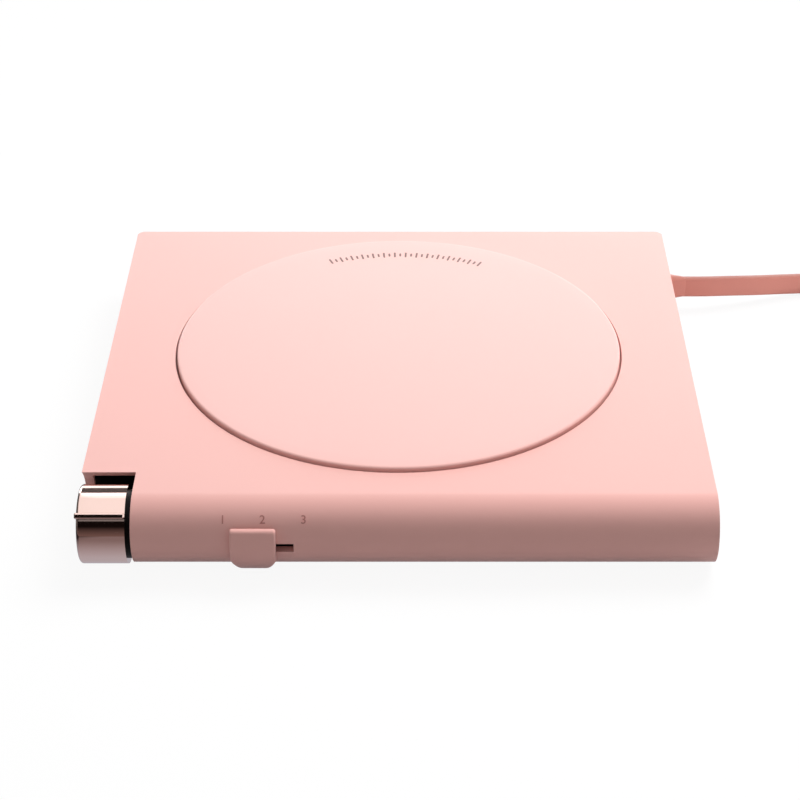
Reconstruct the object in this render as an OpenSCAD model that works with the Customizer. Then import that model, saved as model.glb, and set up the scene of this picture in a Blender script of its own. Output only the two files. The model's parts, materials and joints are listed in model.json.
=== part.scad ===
// Electric mug warmer: a flat slab with a round front edge, a heated plate flush in its top,
// a heat slider on the front edge, a rotary power knob in the front left corner and a flat cord.
// Millimetres. X runs to the right, Y to the back, Z up. The origin is on the table, under the
// middle of the object without its cord.

/* [Body] */
// Width of the shell left on each side of the plate
side_margin = 14; // [12:0.5:24]
// Run from the axis of the round front edge to the plate
front_margin = 6.9; // [6:0.1:12]
// Run from the plate to the back face
back_margin = 5.7; // [5.5:0.1:16]
// Height of the body without its feet, which is also the diameter of the round front edge
body_h = 14.4; // [13.8:0.2:18]
// Thickness of the top shell's walls
wall = 1.8; // [1.4:0.1:2]
// Radius of the back corners, seen from above
corner_r = 1.6; // [0.6:0.1:4]
// Thickness of the base cover
cover_t = 1.6; // [1.4:0.1:1.8]
// Gap all round between the base cover and the shell
cover_gap = 0.15; // [0.1:0.05:0.3]
// Shell left under the round front edge, behind its axis
lip = 1.5; // [1:0.1:2.5]

/* [Feet and cover screws] */
// Height of the feet under the body
foot_h = 0.8; // [0.6:0.1:1.5]
// Radius of a foot
foot_r = 5; // [4:0.5:7]
// Depth that a foot sits in the base cover
foot_seat = 0.4; // [0.2:0.1:0.6]
// Distance of the feet and cover screws from the sides
screw_inset = 8; // [7.5:0.5:9]
// Distance of the front pair behind the axis of the front edge
front_screw_run = 18.1; // [17:0.1:20]
// Distance of the back pair in front of the back face
back_screw_run = 16.5; // [15.5:0.5:18]
// Outer radius of the shell's screw bosses
boss_r = 3; // [2.8:0.1:3.5]
// Outer radius of the cups in the base cover that take the screw heads
cup_r = 4; // [3.8:0.1:4.4]
// Height of those cups above the base cover
cup_h = 1.4; // [1.2:0.1:1.8]
// Shank radius of a cover screw
screw_r = 1.2; // [1:0.1:1.4]
// Head radius of a cover screw
screw_head_r = 2.3; // [2:0.1:2.5]
// Head height of a cover screw
screw_head_h = 1.4; // [1:0.1:1.5]
// Length of a cover screw under its head
screw_l = 8; // [6:0.5:9]

/* [Heating plate] */
// Radius of the heating plate
plate_r = 46; // [44:0.5:48]
// Height of the plate's face above the body
plate_proud = 0.8; // [0.4:0.1:1.4]
// Radius of the plate's rounded rim
plate_rim_r = 0.8; // [0.3:0.1:1]
// Thickness of the plate's face and skirt
plate_t = 1.4; // [1:0.1:1.6]
// Radial gap between the plate and the shell
plate_gap = 0.4; // [0.2:0.05:0.6]
// Width of the plate's flange under the shell
flange_w = 2.4; // [1.6:0.1:2.6]
// Thickness of the flange
flange_t = 0.8; // [0.6:0.1:1]
// Thickness of the gasket between the flange and the shell
gasket_t = 0.6; // [0.4:0.1:0.8]
// Distance of the heater film's edge from the plate's edge
film_gap = 4; // [3:0.1:8]
// Thickness of the heater film
film_t = 0.4; // [0.2:0.1:0.6]
// Thickness of the clamp plate
clamp_t = 0.8; // [0.6:0.1:1]
// Distance of the clamp screws outside the flange
clamp_screw_gap = 4.6; // [4:0.1:5]
// Outer radius of a clamp plate ear and of its boss
ear_r = 2.6; // [2.4:0.1:3]
// Shank radius of the small screws
small_screw_r = 0.8; // [0.7:0.1:1]
// Head radius of the small screws
small_head_r = 1.6; // [1.4:0.1:1.8]
// Head height of the small screws
small_head_h = 1.1; // [0.9:0.1:1.3]

/* [Power knob] */
// How far the chrome barrel stands proud of the round front edge
barrel_proud = 0.3; // [0:0.1:0.4]
// Length of the barrel
barrel_l = 9.1; // [8:0.1:9.2]
// Distance of the barrel's outer end from the side of the body
barrel_inset = 0.25; // [0.2:0.05:0.5]
// Wall of the barrel
barrel_wall = 1; // [0.8:0.1:1.2]
// Height of the rib on the barrel
rib_proud = 0.4; // [0.2:0.1:0.5]
// Width of the rib
rib_w = 1.1; // [0.8:0.1:1.6]
// Angle of the rib above level, at rest
rib_angle = 46.5; // [30:0.5:60]
// Width of the notch in the shell
notch_w = 10.3; // [10.3:0.1:12]
// Gap between the barrel and the shell behind it
notch_gap = 2.3; // [1.9:0.1:2.5]
// Thickness of the black bracket
bracket_t = 1.2; // [1:0.1:1.4]
// Gap between the bracket and the shell
bracket_gap = 0.1; // [0.05:0.05:0.2]
// Gap between the knob's core and the bracket
core_gap = 0.4; // [0.3:0.05:0.5]
// Radius of the switch shaft
shaft_r = 2; // [1.8:0.1:2.2]
// Radial running clearance of the shaft in its bush
shaft_fit = 0.05; // [0.03:0.01:0.08]
// Outer radius of the switch's threaded bush
bush_r = 3.5; // [3.2:0.1:3.6]
// Distance across the corners of the bush nut
nut_d = 9.8; // [9:0.1:10]
// Thickness of the bush nut
nut_t = 1.1; // [0.8:0.1:1.2]
// Gap between the rotary switch's case and the inside of the front edge
case_gap = 0.5; // [0.3:0.1:0.8]
// Length of the rotary switch's case
case_l = 7; // [6.5:0.5:8]

/* [Heat slider] */
// Width of the slider knob
slider_w = 8.6; // [8:0.1:10]
// How far the slider knob stands proud of the front edge
slider_proud = 1.2; // [1:0.1:1.4]
// Gap between the slider knob and the front edge
slider_gap = 0.25; // [0.2:0.05:0.3]
// Height of the knob's top face above the axis of the front edge
slider_rise = 3.6; // [2.6:0.1:3.8]
// Reach of the knob's lower end under the body
slider_under = 0.1; // [0:0.1:0.4]
// Distance of the middle heat setting from the left side
heat_side = 35; // [33:0.5:40]
// Travel from the middle setting to either end
heat_travel = 4; // [3:0.5:4]
// Where the slider rests, left of the middle setting
heat_rest = 1.9; // [0:0.1:3]
// Height of the slot in the front edge
slot_h = 1.9; // [1.7:0.1:2.4]
// Drop of the slot's middle below the axis of the front edge
slot_drop = 0.5; // [0.2:0.1:0.8]
// Width of the slider's stem
stem_w = 3; // [2.8:0.1:3.6]
// Clearance of the stem in the slot, above, below and at each end of its travel
stem_fit = 0.2; // [0.15:0.05:0.3]

/* [Control board] */
// Width of the control board
board_w = 54; // [50:1:56]
// Depth of the control board
board_d = 38; // [34:1:40]
// Thickness of the control board
board_t = 1.2; // [1:0.1:1.6]
// Gap between the board and the inside of the base cover
board_lift = 1.4; // [1.2:0.1:1.8]
// Radius of the board's posts
post_r = 2.2; // [1.9:0.1:2.4]

/* [Cord] */
// Width of the flat cord
cord_w = 4.7; // [4:0.1:5]
// Thickness of the flat cord
cord_t = 1.8; // [1.6:0.1:2]
// Distance of the cord's exit in front of the back face
cord_back = 8.2; // [8.1:0.1:12]
// Length of the grommet's nose outside the body
nose_l = 5.2; // [3:0.1:5.8]
// Room that the grommet leaves round the cord's edges, at its root
nose_flare = 0.8; // [0.4:0.1:0.9]

/* [Plug] */
// Width of the plug's grip
plug_body_w = 15.4; // [14:0.2:16]
// Thickness of the grip
plug_body_t = 7.6; // [7:0.2:9]
// Length of the grip
plug_body_l = 20; // [16:1:24]
// Radius of the grip's long edges
plug_edge_r = 1.8; // [0.6:0.2:3]
// Depth that the metal shell sits in the grip
plug_seat = 2; // [1:0.5:6]

/* [Hidden] */
$fn = 96;
small_fn = 32;
plate_fn = 180;
eps = 0.01;

body_w = 2 * (plate_r + side_margin);
plate_run = front_margin + plate_r;
body_run = plate_run + plate_r + back_margin;
nose_r = body_h / 2;
nose_z = foot_h + nose_r;
nose_y = nose_r + slider_proud - (nose_r + slider_proud + body_run) / 2;
back_y = nose_y + body_run;
side_x = body_w / 2;
floor_z = foot_h;
top_z = foot_h + body_h;
skin_z = top_z - wall;
cover_z = floor_z + cover_t;

screw_x = side_x - screw_inset;
front_screw_y = nose_y + front_screw_run;
back_screw_y = back_y - back_screw_run;
cup_z = cover_z + cup_h;
screw_start = cup_z - 1;
head_room = 0.2;
socket_r = 1;
socket_h = 0.8;
blind_floor = 0.6;
foot_edge = 0.3;

plate_y = nose_y + plate_run;
plate_z = top_z + plate_proud;
flange_r = plate_r + flange_w;
film_r = plate_r - film_gap;
gasket_z = skin_z - gasket_t;
flange_z = gasket_z - flange_t;
film_z = plate_z - plate_t - film_t;
pad_r = plate_r - plate_t - 0.4;
clamp_z = flange_z - clamp_t;
clamp_plate_r = flange_r - 0.6;
clamp_screw_run = flange_r + clamp_screw_gap;
clamp_screw_l = clamp_t + 2.4;

barrel_x = barrel_inset - side_x;
barrel_r = nose_r + barrel_proud;
notch_r = barrel_r + notch_gap;
barrel_soft = 0.8;
rib_root = 0.5;
notch_x = notch_w - side_x;
bracket_x = notch_x + 2 * bracket_gap;
bracket_end = bracket_x + bracket_t;
bracket_y = nose_y + notch_r + bracket_gap;
core_r = barrel_r - barrel_wall;
core_end = bracket_x - core_gap;
nut_x = bracket_x - nut_t;
bush_end = nut_x - 0.2;
pocket_x = bush_end - core_gap;
pocket_r = nut_d / 2 + 0.5;
core_front = 1.4;
shaft_start = barrel_x + barrel_wall + core_front;
shaft_flat = 0.5;
case_r = nose_r - wall - case_gap;
case_wall = 1.2;
case_rim = 0.9;
rotor_l = 3;
rotor_gap = 0.5;
rotor_room = 0.4;
rotor_r = case_r - case_rim - rotor_room;
rotor_x = bracket_end + case_wall + rotor_gap;
case_end = bracket_end + case_l;
case_pin = [1.6, 0.8, 0.6];
case_pin_pitch = 2.5;

heat_x = heat_side - side_x;
slider_drop = nose_r + slider_under;
slider_x = heat_x - heat_rest;
slider_in_r = nose_r + slider_gap;
slider_out_r = nose_r + slider_proud;
slot_z = nose_z - slot_drop;
slot_w = stem_w + 2 * (heat_travel + stem_fit);
stem_h = slot_h - 2 * stem_fit;
stem_root = 0.4;
stem_end = nose_y - nose_r + 2.6;
knob_corner_w = 1.9;
knob_corner_h = 4.1;

board_top = cover_z + board_lift + board_t;
board_x = case_end + case_pin[0] + 0.8;
board_y = nose_y - 3;
post_inset = 3.2;
left_post_x = board_x + post_inset;
right_post_x = board_x + board_w - post_inset;
front_post_y = nose_y + lip + post_r + 2.4;
back_post_y = board_y + board_d - post_inset;
board_screw_bite = 0.8;
capacitor_r = 2.5;
capacitor_x = board_x + board_w - 8;
capacitor_y = board_y + 16;
capacitor_h = clamp_z - board_top - 1;

switch_y = nose_y - 3.6;
switch_d = 6;
switch_h = 5.2;
switch_w = 2 * heat_travel + 8;
can_t = 0.5;
lever_room = 0.3;
lever_w = 2;
lever_h = 0.8;
block_w = 4.4;
block_d = 3.4;
block_h = 2.4;
block_y = switch_y + can_t + lever_room;
lever_tip_y = nose_y - nose_r + 0.9;

// What passes through the pad and the clamp plate, from the board up
lead_y = board_y + board_d - 10;
heater_lead_x = [board_x + 38, board_x + 45];
lead_r = 0.6;
lead_hole_r = 1;
sensor_x = board_x + 29;
sensor_r = 1.1;
sensor_flange_r = 2.4;
sensor_flange_t = 0.6;
sensor_lead_r = 0.4;
sensor_lead_x = 1.2;
cutoff_x = board_x + 14;
cutoff_l = 14;
cutoff_w = 6;
cutoff_t = 2.8;
cutoff_lead_x = 5.6;
strap_t = 0.4;
strap_w = 4;
strap_foot = 3.5;

cord_y = back_y - cord_back;
cord_lift = 0.65;
cord_z = cover_z + cord_lift + cord_w / 2;
hole_h = cord_w + 1.5;
hole_t = cord_t + 1.5;
clamp_x = side_x - 14;
clamp_l = 8;
bridge_t = 1.2;
bridge_roof = 1;
clamp_bar_z = cover_z + 2.2;
clamp_bar_t = 1.6;
clamp_post_y = 3.9;
clamp_post_r = 1.9;
clamp_bar_screw_l = 4;
inner_end = clamp_x - clamp_l / 2 - 3;
grommet_flange_t = 1.6;
grommet_flange_w = 1.2;
nose_slice_l = 0.2;
wire_r = 0.6;
thin_wire_r = 0.4;
wire_step = 3;
wire_gap = cord_w - 3 * wire_r;
wire_end_x = board_x + board_w - 9;
wire_end_y = board_y + board_d - 5;

// Cross-section of the flat cord with its corners cut, as points about its centre
cut = 0.5;
ribbon_section = [
    [cord_t / 2, cut - cord_w / 2], [cord_t / 2, cord_w / 2 - cut],
    [cord_t / 2 - cut, cord_w / 2], [cut - cord_t / 2, cord_w / 2],
    [-cord_t / 2, cord_w / 2 - cut], [-cord_t / 2, cut - cord_w / 2],
    [cut - cord_t / 2, -cord_w / 2], [cord_t / 2 - cut, -cord_w / 2]
];

// Free cord: hand-chosen points from the exit to the coil, each [x, y, z, heading]
lead_points = [
    [60, 48.3, 5.4, 0],
    [63, 48.3, 5.4, 0],
    [66, 48.3, 5.4, 0],
    [70, 48.6, 5.25, 8],
    [76, 49.8, 4.75, 13],
    [82, 51.3, 4.05, 15],
    [88, 53.1, 3.3, 15],
    [94, 54.5, 2.75, 11],
    [102, 55.7, 2.4, 6],
    [112, 56.3, 2.4, 2],
    [122, 56.4, 2.4, 0],
    [133, 56.4, 2.4, 0]
];
// Coil of two arms wound together from a bend in its middle
coil_x = 133;
coil_y = 23.8;
coil_z = 0.05;
coil_start_r = 20;
arm_pitch = 4.4;
lead_turn = 1030;
tail_turn = 1070;
lead_angle = 90;
coil_in_r = coil_start_r - cord_t / 2;
coil_out_r = coil_start_r + arm_pitch * tail_turn / 360 + cord_t / 2 + 0.3;
// Bend in the middle of the coil, as two half circles, where the cord turns back
bend_r = coil_start_r / 2;
bend_angle = lead_angle - lead_turn;
bend_z = 2.4;
bend_steps = 5;
bend_end = 30;
// Tail from the coil to the plug, each [x, y, z, heading, roll]
tail_points = [
    [154.3, -1.5, 2.4, 40, 0],
    [159.8, 3.2, 2.4, 40, 0],
    [165.4, 7.8, 2.4, 42, 0],
    [169.3, 12, 2.4, 53, 0],
    [172.4, 17.2, 2.45, 67, 15],
    [174, 22.7, 2.7, 79, 45],
    [174.8, 27.2, 3.25, 80, 75],
    [175.6, 31.8, 3.8, 80, 90]
];
// Plug of the standard size
plug_x = 175.6;
plug_y = 31.8;
plug_angle = 80;
plug_shell_w = 12;
plug_shell_t = 4.5;
plug_shell_l = 12;
plug_sheet = 0.3;
plug_fill_w = plug_shell_w - 2 * plug_sheet;
plug_fill_t = plug_shell_t - 2 * plug_sheet;
plug_window = 2.2;
plug_window_x = 2.9;
plug_window_z = 5.2;
tongue_w = 11;
tongue_t = 1.9;
tongue_l = plug_shell_l - 0.8;
contact_w = 1;
contact_pitch = 2.3;
contact_start = 1;
contact_l = 8;
contact_t = 0.2;

pink = [0.98, 0.80, 0.77];
cord_pink = [0.87, 0.58, 0.54];
black = [0.08, 0.08, 0.08];
steel = [0.75, 0.75, 0.77];

// ---- helpers ----

// Turns a flat Y-Z outline into a solid that runs along X from x to x + l
module along_x(x, l) {
    translate([x, 0, 0]) rotate([90, 0, 90]) linear_extrude(l) children();
}

// Cylinder along X
module rod_x(r, x, l, y = 0, z = 0) {
    translate([x, y, z]) rotate([0, 90, 0]) cylinder(r = r, h = l);
}

// Side outline of the body, drawn inset by a distance
module side_outline(inset) {
    translate([nose_y, nose_z]) circle(r = nose_r - inset);
    translate([nose_y, floor_z + inset]) square([body_run - inset, body_h - 2 * inset]);
}

// Outline of the body seen from above, drawn inset by a distance
module plan_outline(inset) {
    r = max(corner_r - inset, 0.2);
    x = side_x - inset;
    y = back_y - inset;
    front = nose_y - nose_r + inset;
    translate([-x, front]) square([2 * x, y - r - front]);
    translate([r - x, front]) square([2 * (x - r), y - front]);
    for (side = [-1, 1]) translate([side * (x - r), y - r]) circle(r = r);
}

// The body's own outer form, inset by a distance
module body_form(inset) {
    intersection() {
        along_x(inset - side_x, body_w - 2 * inset) side_outline(inset);
        translate([0, 0, floor_z + inset]) linear_extrude(body_h - 2 * inset) plan_outline(inset);
    }
}

// Cylinder that the knob turns in, from the left side to x
module notch_space(x, r) {
    rod_x(r, -side_x - 1, x + side_x + 1, nose_y, nose_z);
}

module at_cover_screws() {
    for (x = [-screw_x, screw_x], y = [front_screw_y, back_screw_y]) translate([x, y, 0]) children();
}

module at_clamp_screws() {
    for (a = [45 : 90 : 315]) {
        translate([clamp_screw_run * cos(a), plate_y + clamp_screw_run * sin(a), 0]) children();
    }
}

module at_board_screws() {
    for (x = [left_post_x, right_post_x], y = [front_post_y, back_post_y]) {
        translate([x, y, 0]) children();
    }
}

// Pan-head screw pointing up, the top of its shank at z, its head below
module screw_up(r, head_r, head_h, l) {
    translate([0, 0, -head_h]) cylinder(r = head_r, h = head_h);
    cylinder(r = r, h = l);
}

module small_screw_down(l) {
    mirror([0, 0, 1]) screw_up(small_screw_r, small_head_r, small_head_h, l);
}

// Slot with round ends, h tall and t wide, centred, as a flat outline
module slot_outline(h, t) {
    square([t, h - t], center = true);
    for (side = [-1, 1]) translate([0, side * (h - t) / 2]) circle(r = t / 2, $fn = small_fn);
}

// One ring of the swept cord: across and upright parts of each section point turned by the roll
function ribbon_ring(p) = let (h = p[3], roll = len(p) > 4 ? p[4] : 0) [
    for (q = ribbon_section)
        let (across = q[0] * cos(roll) + q[1] * sin(roll), upright = q[1] * cos(roll) - q[0] * sin(roll))
        [p[0] + across * sin(h), p[1] - across * cos(h), p[2] + upright]
];

// Closed skin over rings of n points each
module skin(rings, n) {
    count = len(rings);
    points = [for (ring = rings, q = ring) q];
    sides = [
        for (i = [0 : count - 2], k = [0 : n - 1])
            let (a = i * n + k, b = i * n + (k + 1) % n)
            each [[a, a + n, b + n], [a, b + n, b]]
    ];
    first = [for (k = [0 : n - 1]) k];
    last = [for (k = [n - 1 : -1 : 0]) (count - 1) * n + k];
    polyhedron(points, concat(sides, [first, last]), convexity = 6);
}

module ribbon(points) {
    skin([for (p = points) ribbon_ring(p)], len(ribbon_section));
}

// Round wire of radius r through points, each [x, y, z], that never stands upright
function unit(v) = v / norm(v);
function wire_way(points, i) = unit(points[min(i + 1, len(points) - 1)] - points[max(i - 1, 0)]);
module wire(points, r, sides = 8) {
    rings = [
        for (i = [0 : len(points) - 1])
            let (
                way = wire_way(points, i),
                across = unit(cross(way, [0, 0, 1])),
                upright = cross(across, way)
            )
            [for (a = [0 : 360 / sides : 359]) points[i] + r * (cos(a) * across + sin(a) * upright)]
    ];
    skin(rings, sides);
}

// ---- housing ----

module top_shell() {
    color(pink) difference() {
        union() {
            difference() {
                body_form(0);
                body_form(wall);
                cover_opening();
                translate([0, plate_y, skin_z - 1])
                    cylinder(r = plate_r + plate_gap, h = wall + 2, $fn = plate_fn);
            }
            at_cover_screws() translate([0, 0, cup_z]) cylinder(r = boss_r, h = skin_z - cup_z + eps);
            at_clamp_screws() translate([0, 0, flange_z]) cylinder(r = ear_r, h = skin_z - flange_z + eps);
        }
        notch_space(notch_x, notch_r);
        slot_cut();
        cord_hole();
        at_cover_screws() translate([0, 0, screw_start])
            cylinder(r = screw_r, h = screw_l + 1, $fn = small_fn);
        at_clamp_screws() translate([0, 0, clamp_z])
            cylinder(r = small_screw_r, h = clamp_screw_l + 0.2, $fn = small_fn);
    }
}

// Opening under the shell that the base cover fills
module cover_opening() {
    r = max(corner_r - wall, 0.2);
    x = side_x - wall;
    y = back_y - wall;
    translate([0, 0, floor_z - 1]) linear_extrude(wall + 2) {
        translate([-x, nose_y + lip]) square([2 * x, y - nose_y - lip - r]);
        translate([r - x, nose_y + lip]) square([2 * (x - r), y - nose_y - lip]);
        for (side = [-1, 1]) translate([side * (x - r), y - r]) circle(r = r, $fn = small_fn);
    }
}

// Slot in the round front edge that the slider's stem runs in
module slot_cut() {
    translate([heat_x - slot_w / 2, nose_y - nose_r - 1, slot_z - slot_h / 2]) cube([slot_w, nose_r, slot_h]);
}

module cord_hole() {
    translate([side_x - wall - 1, cord_y, cord_z]) rotate([90, 0, 90]) linear_extrude(wall + 2)
        slot_outline(hole_h, hole_t);
}

module base_cover() {
    x = side_x - wall - cover_gap;
    y = back_y - wall - cover_gap;
    front = nose_y + lip + cover_gap;
    r = max(corner_r - wall, 0.2);
    color(pink) difference() {
        union() {
            translate([0, 0, floor_z]) linear_extrude(cover_t) {
                translate([-x, front]) square([2 * x, y - front - r]);
                translate([r - x, front]) square([2 * (x - r), y - front]);
                for (side = [-1, 1]) translate([side * (x - r), y - r]) circle(r = r, $fn = small_fn);
            }
            at_cover_screws() translate([0, 0, cover_z - eps]) cylinder(r = cup_r, h = cup_h + eps);
            at_board_screws() translate([0, 0, cover_z - eps]) cylinder(r = post_r, h = board_lift + eps);
            for (side = [-1, 1]) {
                translate([clamp_x, cord_y + side * clamp_post_y, cover_z - eps])
                    cylinder(r = clamp_post_r, h = clamp_bar_z - cover_z + eps);
            }
        }
        notch_space(notch_x, notch_r);
        at_cover_screws() {
            translate([0, 0, floor_z - 1])
                cylinder(r = screw_head_r + head_room, h = screw_start - floor_z + 1);
            translate([0, 0, floor_z]) cylinder(r = screw_r + head_room, h = cup_z, $fn = small_fn);
            translate([0, 0, floor_z - 1]) cylinder(r = foot_r, h = foot_seat + 1);
        }
        at_board_screws() translate([0, 0, floor_z + blind_floor])
            cylinder(r = small_screw_r, h = board_top, $fn = small_fn);
        for (side = [-1, 1]) {
            translate([clamp_x, cord_y + side * clamp_post_y, floor_z + blind_floor])
                cylinder(r = small_screw_r, h = clamp_bar_z, $fn = small_fn);
        }
    }
}

// Round pad with a softened lower edge
module foot(side, y) {
    color(black) translate([side * screw_x, y, 0]) rotate_extrude() polygon([
        [0, 0], [foot_r - foot_edge, 0], [foot_r, foot_edge], [foot_r, foot_h + foot_seat],
        [0, foot_h + foot_seat]
    ]);
}

module cover_screws() {
    color(steel) at_cover_screws() translate([0, 0, screw_start]) difference() {
        screw_up(screw_r, screw_head_r, screw_head_h, screw_l + 1);
        translate([0, 0, -screw_head_h - 1]) cylinder(r = socket_r, h = socket_h + 1, $fn = 6);
    }
}

// ---- heater ----

// Plate with a rounded rim, a skirt through the shell and a flange under it
module heating_plate() {
    rim = plate_rim_r;
    color(pink) translate([0, plate_y, 0]) rotate_extrude($fn = plate_fn) difference() {
        union() {
            translate([0, film_z + film_t]) square([plate_r - rim, plate_t]);
            translate([0, flange_z]) square([plate_r, plate_z - rim - flange_z]);
            translate([plate_r - rim, plate_z - rim]) circle(r = rim, $fn = small_fn);
            translate([0, flange_z]) square([flange_r, flange_t]);
        }
        translate([-1, flange_z - 1]) square([plate_r - plate_t + 1, film_z + film_t - flange_z + 1]);
    }
}

module plate_gasket() {
    color(black) translate([0, plate_y, gasket_z]) difference() {
        cylinder(r = flange_r, h = gasket_t, $fn = plate_fn);
        translate([0, 0, -1]) cylinder(r = plate_r, h = gasket_t + 2, $fn = plate_fn);
    }
}

module heater_film() {
    color("chocolate") translate([0, plate_y, film_z]) cylinder(r = film_r, h = film_t);
}

module lead_holes(r) {
    for (x = heater_lead_x) translate([x, lead_y, 0]) cylinder(r = r, h = top_z, $fn = small_fn);
    translate([sensor_x, lead_y, 0]) cylinder(r = sensor_r + 0.2, h = top_z, $fn = small_fn);
}

module insulation_pad() {
    color("ivory") difference() {
        translate([0, plate_y, flange_z]) cylinder(r = pad_r, h = film_z - flange_z);
        lead_holes(lead_hole_r);
    }
}

module clamp_plate() {
    color(steel) difference() {
        translate([0, 0, clamp_z]) linear_extrude(clamp_t) {
            translate([0, plate_y]) circle(r = clamp_plate_r);
            for (a = [45 : 90 : 315]) translate([0, plate_y]) rotate(a) {
                translate([clamp_plate_r - ear_r, -ear_r])
                    square([clamp_screw_run - clamp_plate_r + ear_r, 2 * ear_r]);
                translate([clamp_screw_run, 0]) circle(r = ear_r, $fn = small_fn);
            }
        }
        lead_holes(lead_hole_r);
        at_clamp_screws() translate([0, 0, clamp_z - 1])
            cylinder(r = small_screw_r, h = clamp_t + 2, $fn = small_fn);
    }
}

module clamp_screws() {
    color(steel) at_clamp_screws() translate([0, 0, clamp_z])
        screw_up(small_screw_r, small_head_r, small_head_h, clamp_screw_l, $fn = small_fn);
}

module thermal_cutoff() {
    color(black) translate([cutoff_x, lead_y, clamp_z - cutoff_t / 2])
        cube([cutoff_l, cutoff_w, cutoff_t], center = true);
}

// Strap that holds the cutoff against the clamp plate
module cutoff_clip() {
    deep = cutoff_t + strap_t;
    color(steel) translate([cutoff_x, lead_y, clamp_z]) difference() {
        union() {
            translate([0, 0, -deep / 2]) cube([strap_w, cutoff_w + 2 * strap_t, deep], center = true);
            translate([0, 0, -strap_t / 2])
                cube([strap_w, cutoff_w + 2 * strap_foot, strap_t], center = true);
        }
        translate([0, 0, -cutoff_t / 2]) cube([strap_w + 1, cutoff_w, cutoff_t], center = true);
    }
}

// Bead against the heater film, carried by a flange under the clamp plate
module thermistor() {
    color("firebrick") translate([sensor_x, lead_y, 0]) {
        translate([0, 0, clamp_z - sensor_flange_t])
            cylinder(r = sensor_flange_r, h = sensor_flange_t, $fn = small_fn);
        translate([0, 0, clamp_z - eps]) cylinder(r = sensor_r, h = film_z - clamp_z + eps, $fn = small_fn);
    }
}

module heater_leads() {
    color("white") for (x = heater_lead_x) {
        translate([x, lead_y, board_top]) cylinder(r = lead_r, h = film_z - board_top, $fn = small_fn);
    }
}

module cutoff_leads() {
    color("white") for (side = [-1, 1]) {
        translate([cutoff_x + side * cutoff_lead_x, lead_y, board_top])
            cylinder(r = lead_r, h = clamp_z - cutoff_t - board_top, $fn = small_fn);
    }
}

module thermistor_leads() {
    color("black") for (side = [-1, 1]) {
        translate([sensor_x + side * sensor_lead_x, lead_y, board_top])
            cylinder(r = sensor_lead_r, h = clamp_z - sensor_flange_t - board_top, $fn = small_fn);
    }
}

// ---- controls ----

module control_board() {
    color("darkgreen") difference() {
        translate([board_x, board_y, board_top - board_t]) cube([board_w, board_d, board_t]);
        at_board_screws() translate([0, 0, cover_z])
            cylinder(r = small_screw_r, h = board_top, $fn = small_fn);
    }
}

// Leads of a part on the board, in a row on each side, at a pitch
module pins(count, pitch, y, size) {
    for (i = [0 : count - 1]) {
        translate([(i - (count - 1) / 2) * pitch, y, size[2] / 2]) cube(size, center = true);
    }
}

module control_chip() {
    size = [5, 3.9, 1.4];
    lift = 0.2;
    color(black) translate([board_x + 20, board_y + 20, board_top]) {
        translate([0, 0, lift + size[2] / 2]) cube(size, center = true);
        for (side = [-1, 1]) pins(4, 1.27, side * 2.4, [0.4, 1, 0.4]);
    }
}

module power_transistor() {
    size = [6.5, 6, 2.3];
    color(black) translate([board_x + 34, board_y + 19, board_top]) {
        translate([0, 0, size[2] / 2]) cube(size, center = true);
        pins(3, 2.28, -3.9, [0.8, 1.8, 0.6]);
        pins(1, 1, 3.6, [5.2, 1.2, 0.6]);
    }
}

module filter_capacitor() {
    color("navy") translate([capacitor_x, capacitor_y, board_top]) cylinder(r = capacitor_r, h = capacitor_h);
}

module board_screws() {
    color(steel) at_board_screws() translate([0, 0, board_top])
        small_screw_down(board_t + board_lift + board_screw_bite, $fn = small_fn);
}

// Metal can with a window in front that its lever slides in
module slide_switch() {
    window_w = 2 * (heat_travel + lever_room) + lever_w;
    color(steel) difference() {
        translate([heat_x - switch_w / 2, switch_y, board_top]) cube([switch_w, switch_d, switch_h]);
        translate([heat_x - switch_w / 2 + can_t, switch_y + can_t, slot_z - block_h / 2 - lever_room])
            cube([switch_w - 2 * can_t, block_d + 1, block_h + 2 * lever_room]);
        translate([heat_x - window_w / 2, switch_y - 1, slot_z - lever_h / 2 - lever_room])
            cube([window_w, 2, lever_h + 2 * lever_room]);
    }
}

module slide_lever() {
    color(black) {
        translate([slider_x - block_w / 2, block_y, slot_z - block_h / 2]) cube([block_w, block_d, block_h]);
        translate([slider_x - lever_w / 2, lever_tip_y, slot_z - lever_h / 2])
            cube([lever_w, block_y - lever_tip_y + eps, lever_h]);
    }
}

// Curved cap round the front edge, with a stem through the slot that holds the lever
module slider_knob() {
    stem_start = nose_y - slider_out_r + stem_root;
    color(pink) difference() {
        union() {
            intersection() {
                along_x(slider_x - slider_w / 2, slider_w) difference() {
                    translate([nose_y, nose_z]) circle(r = slider_out_r);
                    translate([nose_y, nose_z]) circle(r = slider_in_r);
                }
                translate([slider_x - slider_w / 2, nose_y - slider_out_r - 1, nose_z - slider_drop])
                    cube([slider_w, slider_out_r, slider_drop + slider_rise]);
                slider_face(knob_corner_w, knob_corner_h);
            }
            translate([slider_x - stem_w / 2, stem_start, slot_z - stem_h / 2])
                cube([stem_w, stem_end - stem_start, stem_h]);
        }
        translate([slider_x - lever_w / 2, lever_tip_y, slot_z - lever_h / 2]) cube([lever_w, 5, lever_h]);
    }
}

// Front outline of the slider knob, its lower corners cut off
module slider_face(size, rise) {
    w = slider_w / 2;
    low = nose_z - slider_drop;
    high = nose_z + slider_rise;
    translate([slider_x, nose_y, 0]) rotate([90, 0, 0]) linear_extrude(slider_out_r + 1) polygon([
        [size - w, low], [w - size, low], [w, low + rise], [w, high], [-w, high], [-w, low + rise]
    ]);
}

// ---- power switch and knob ----

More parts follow.
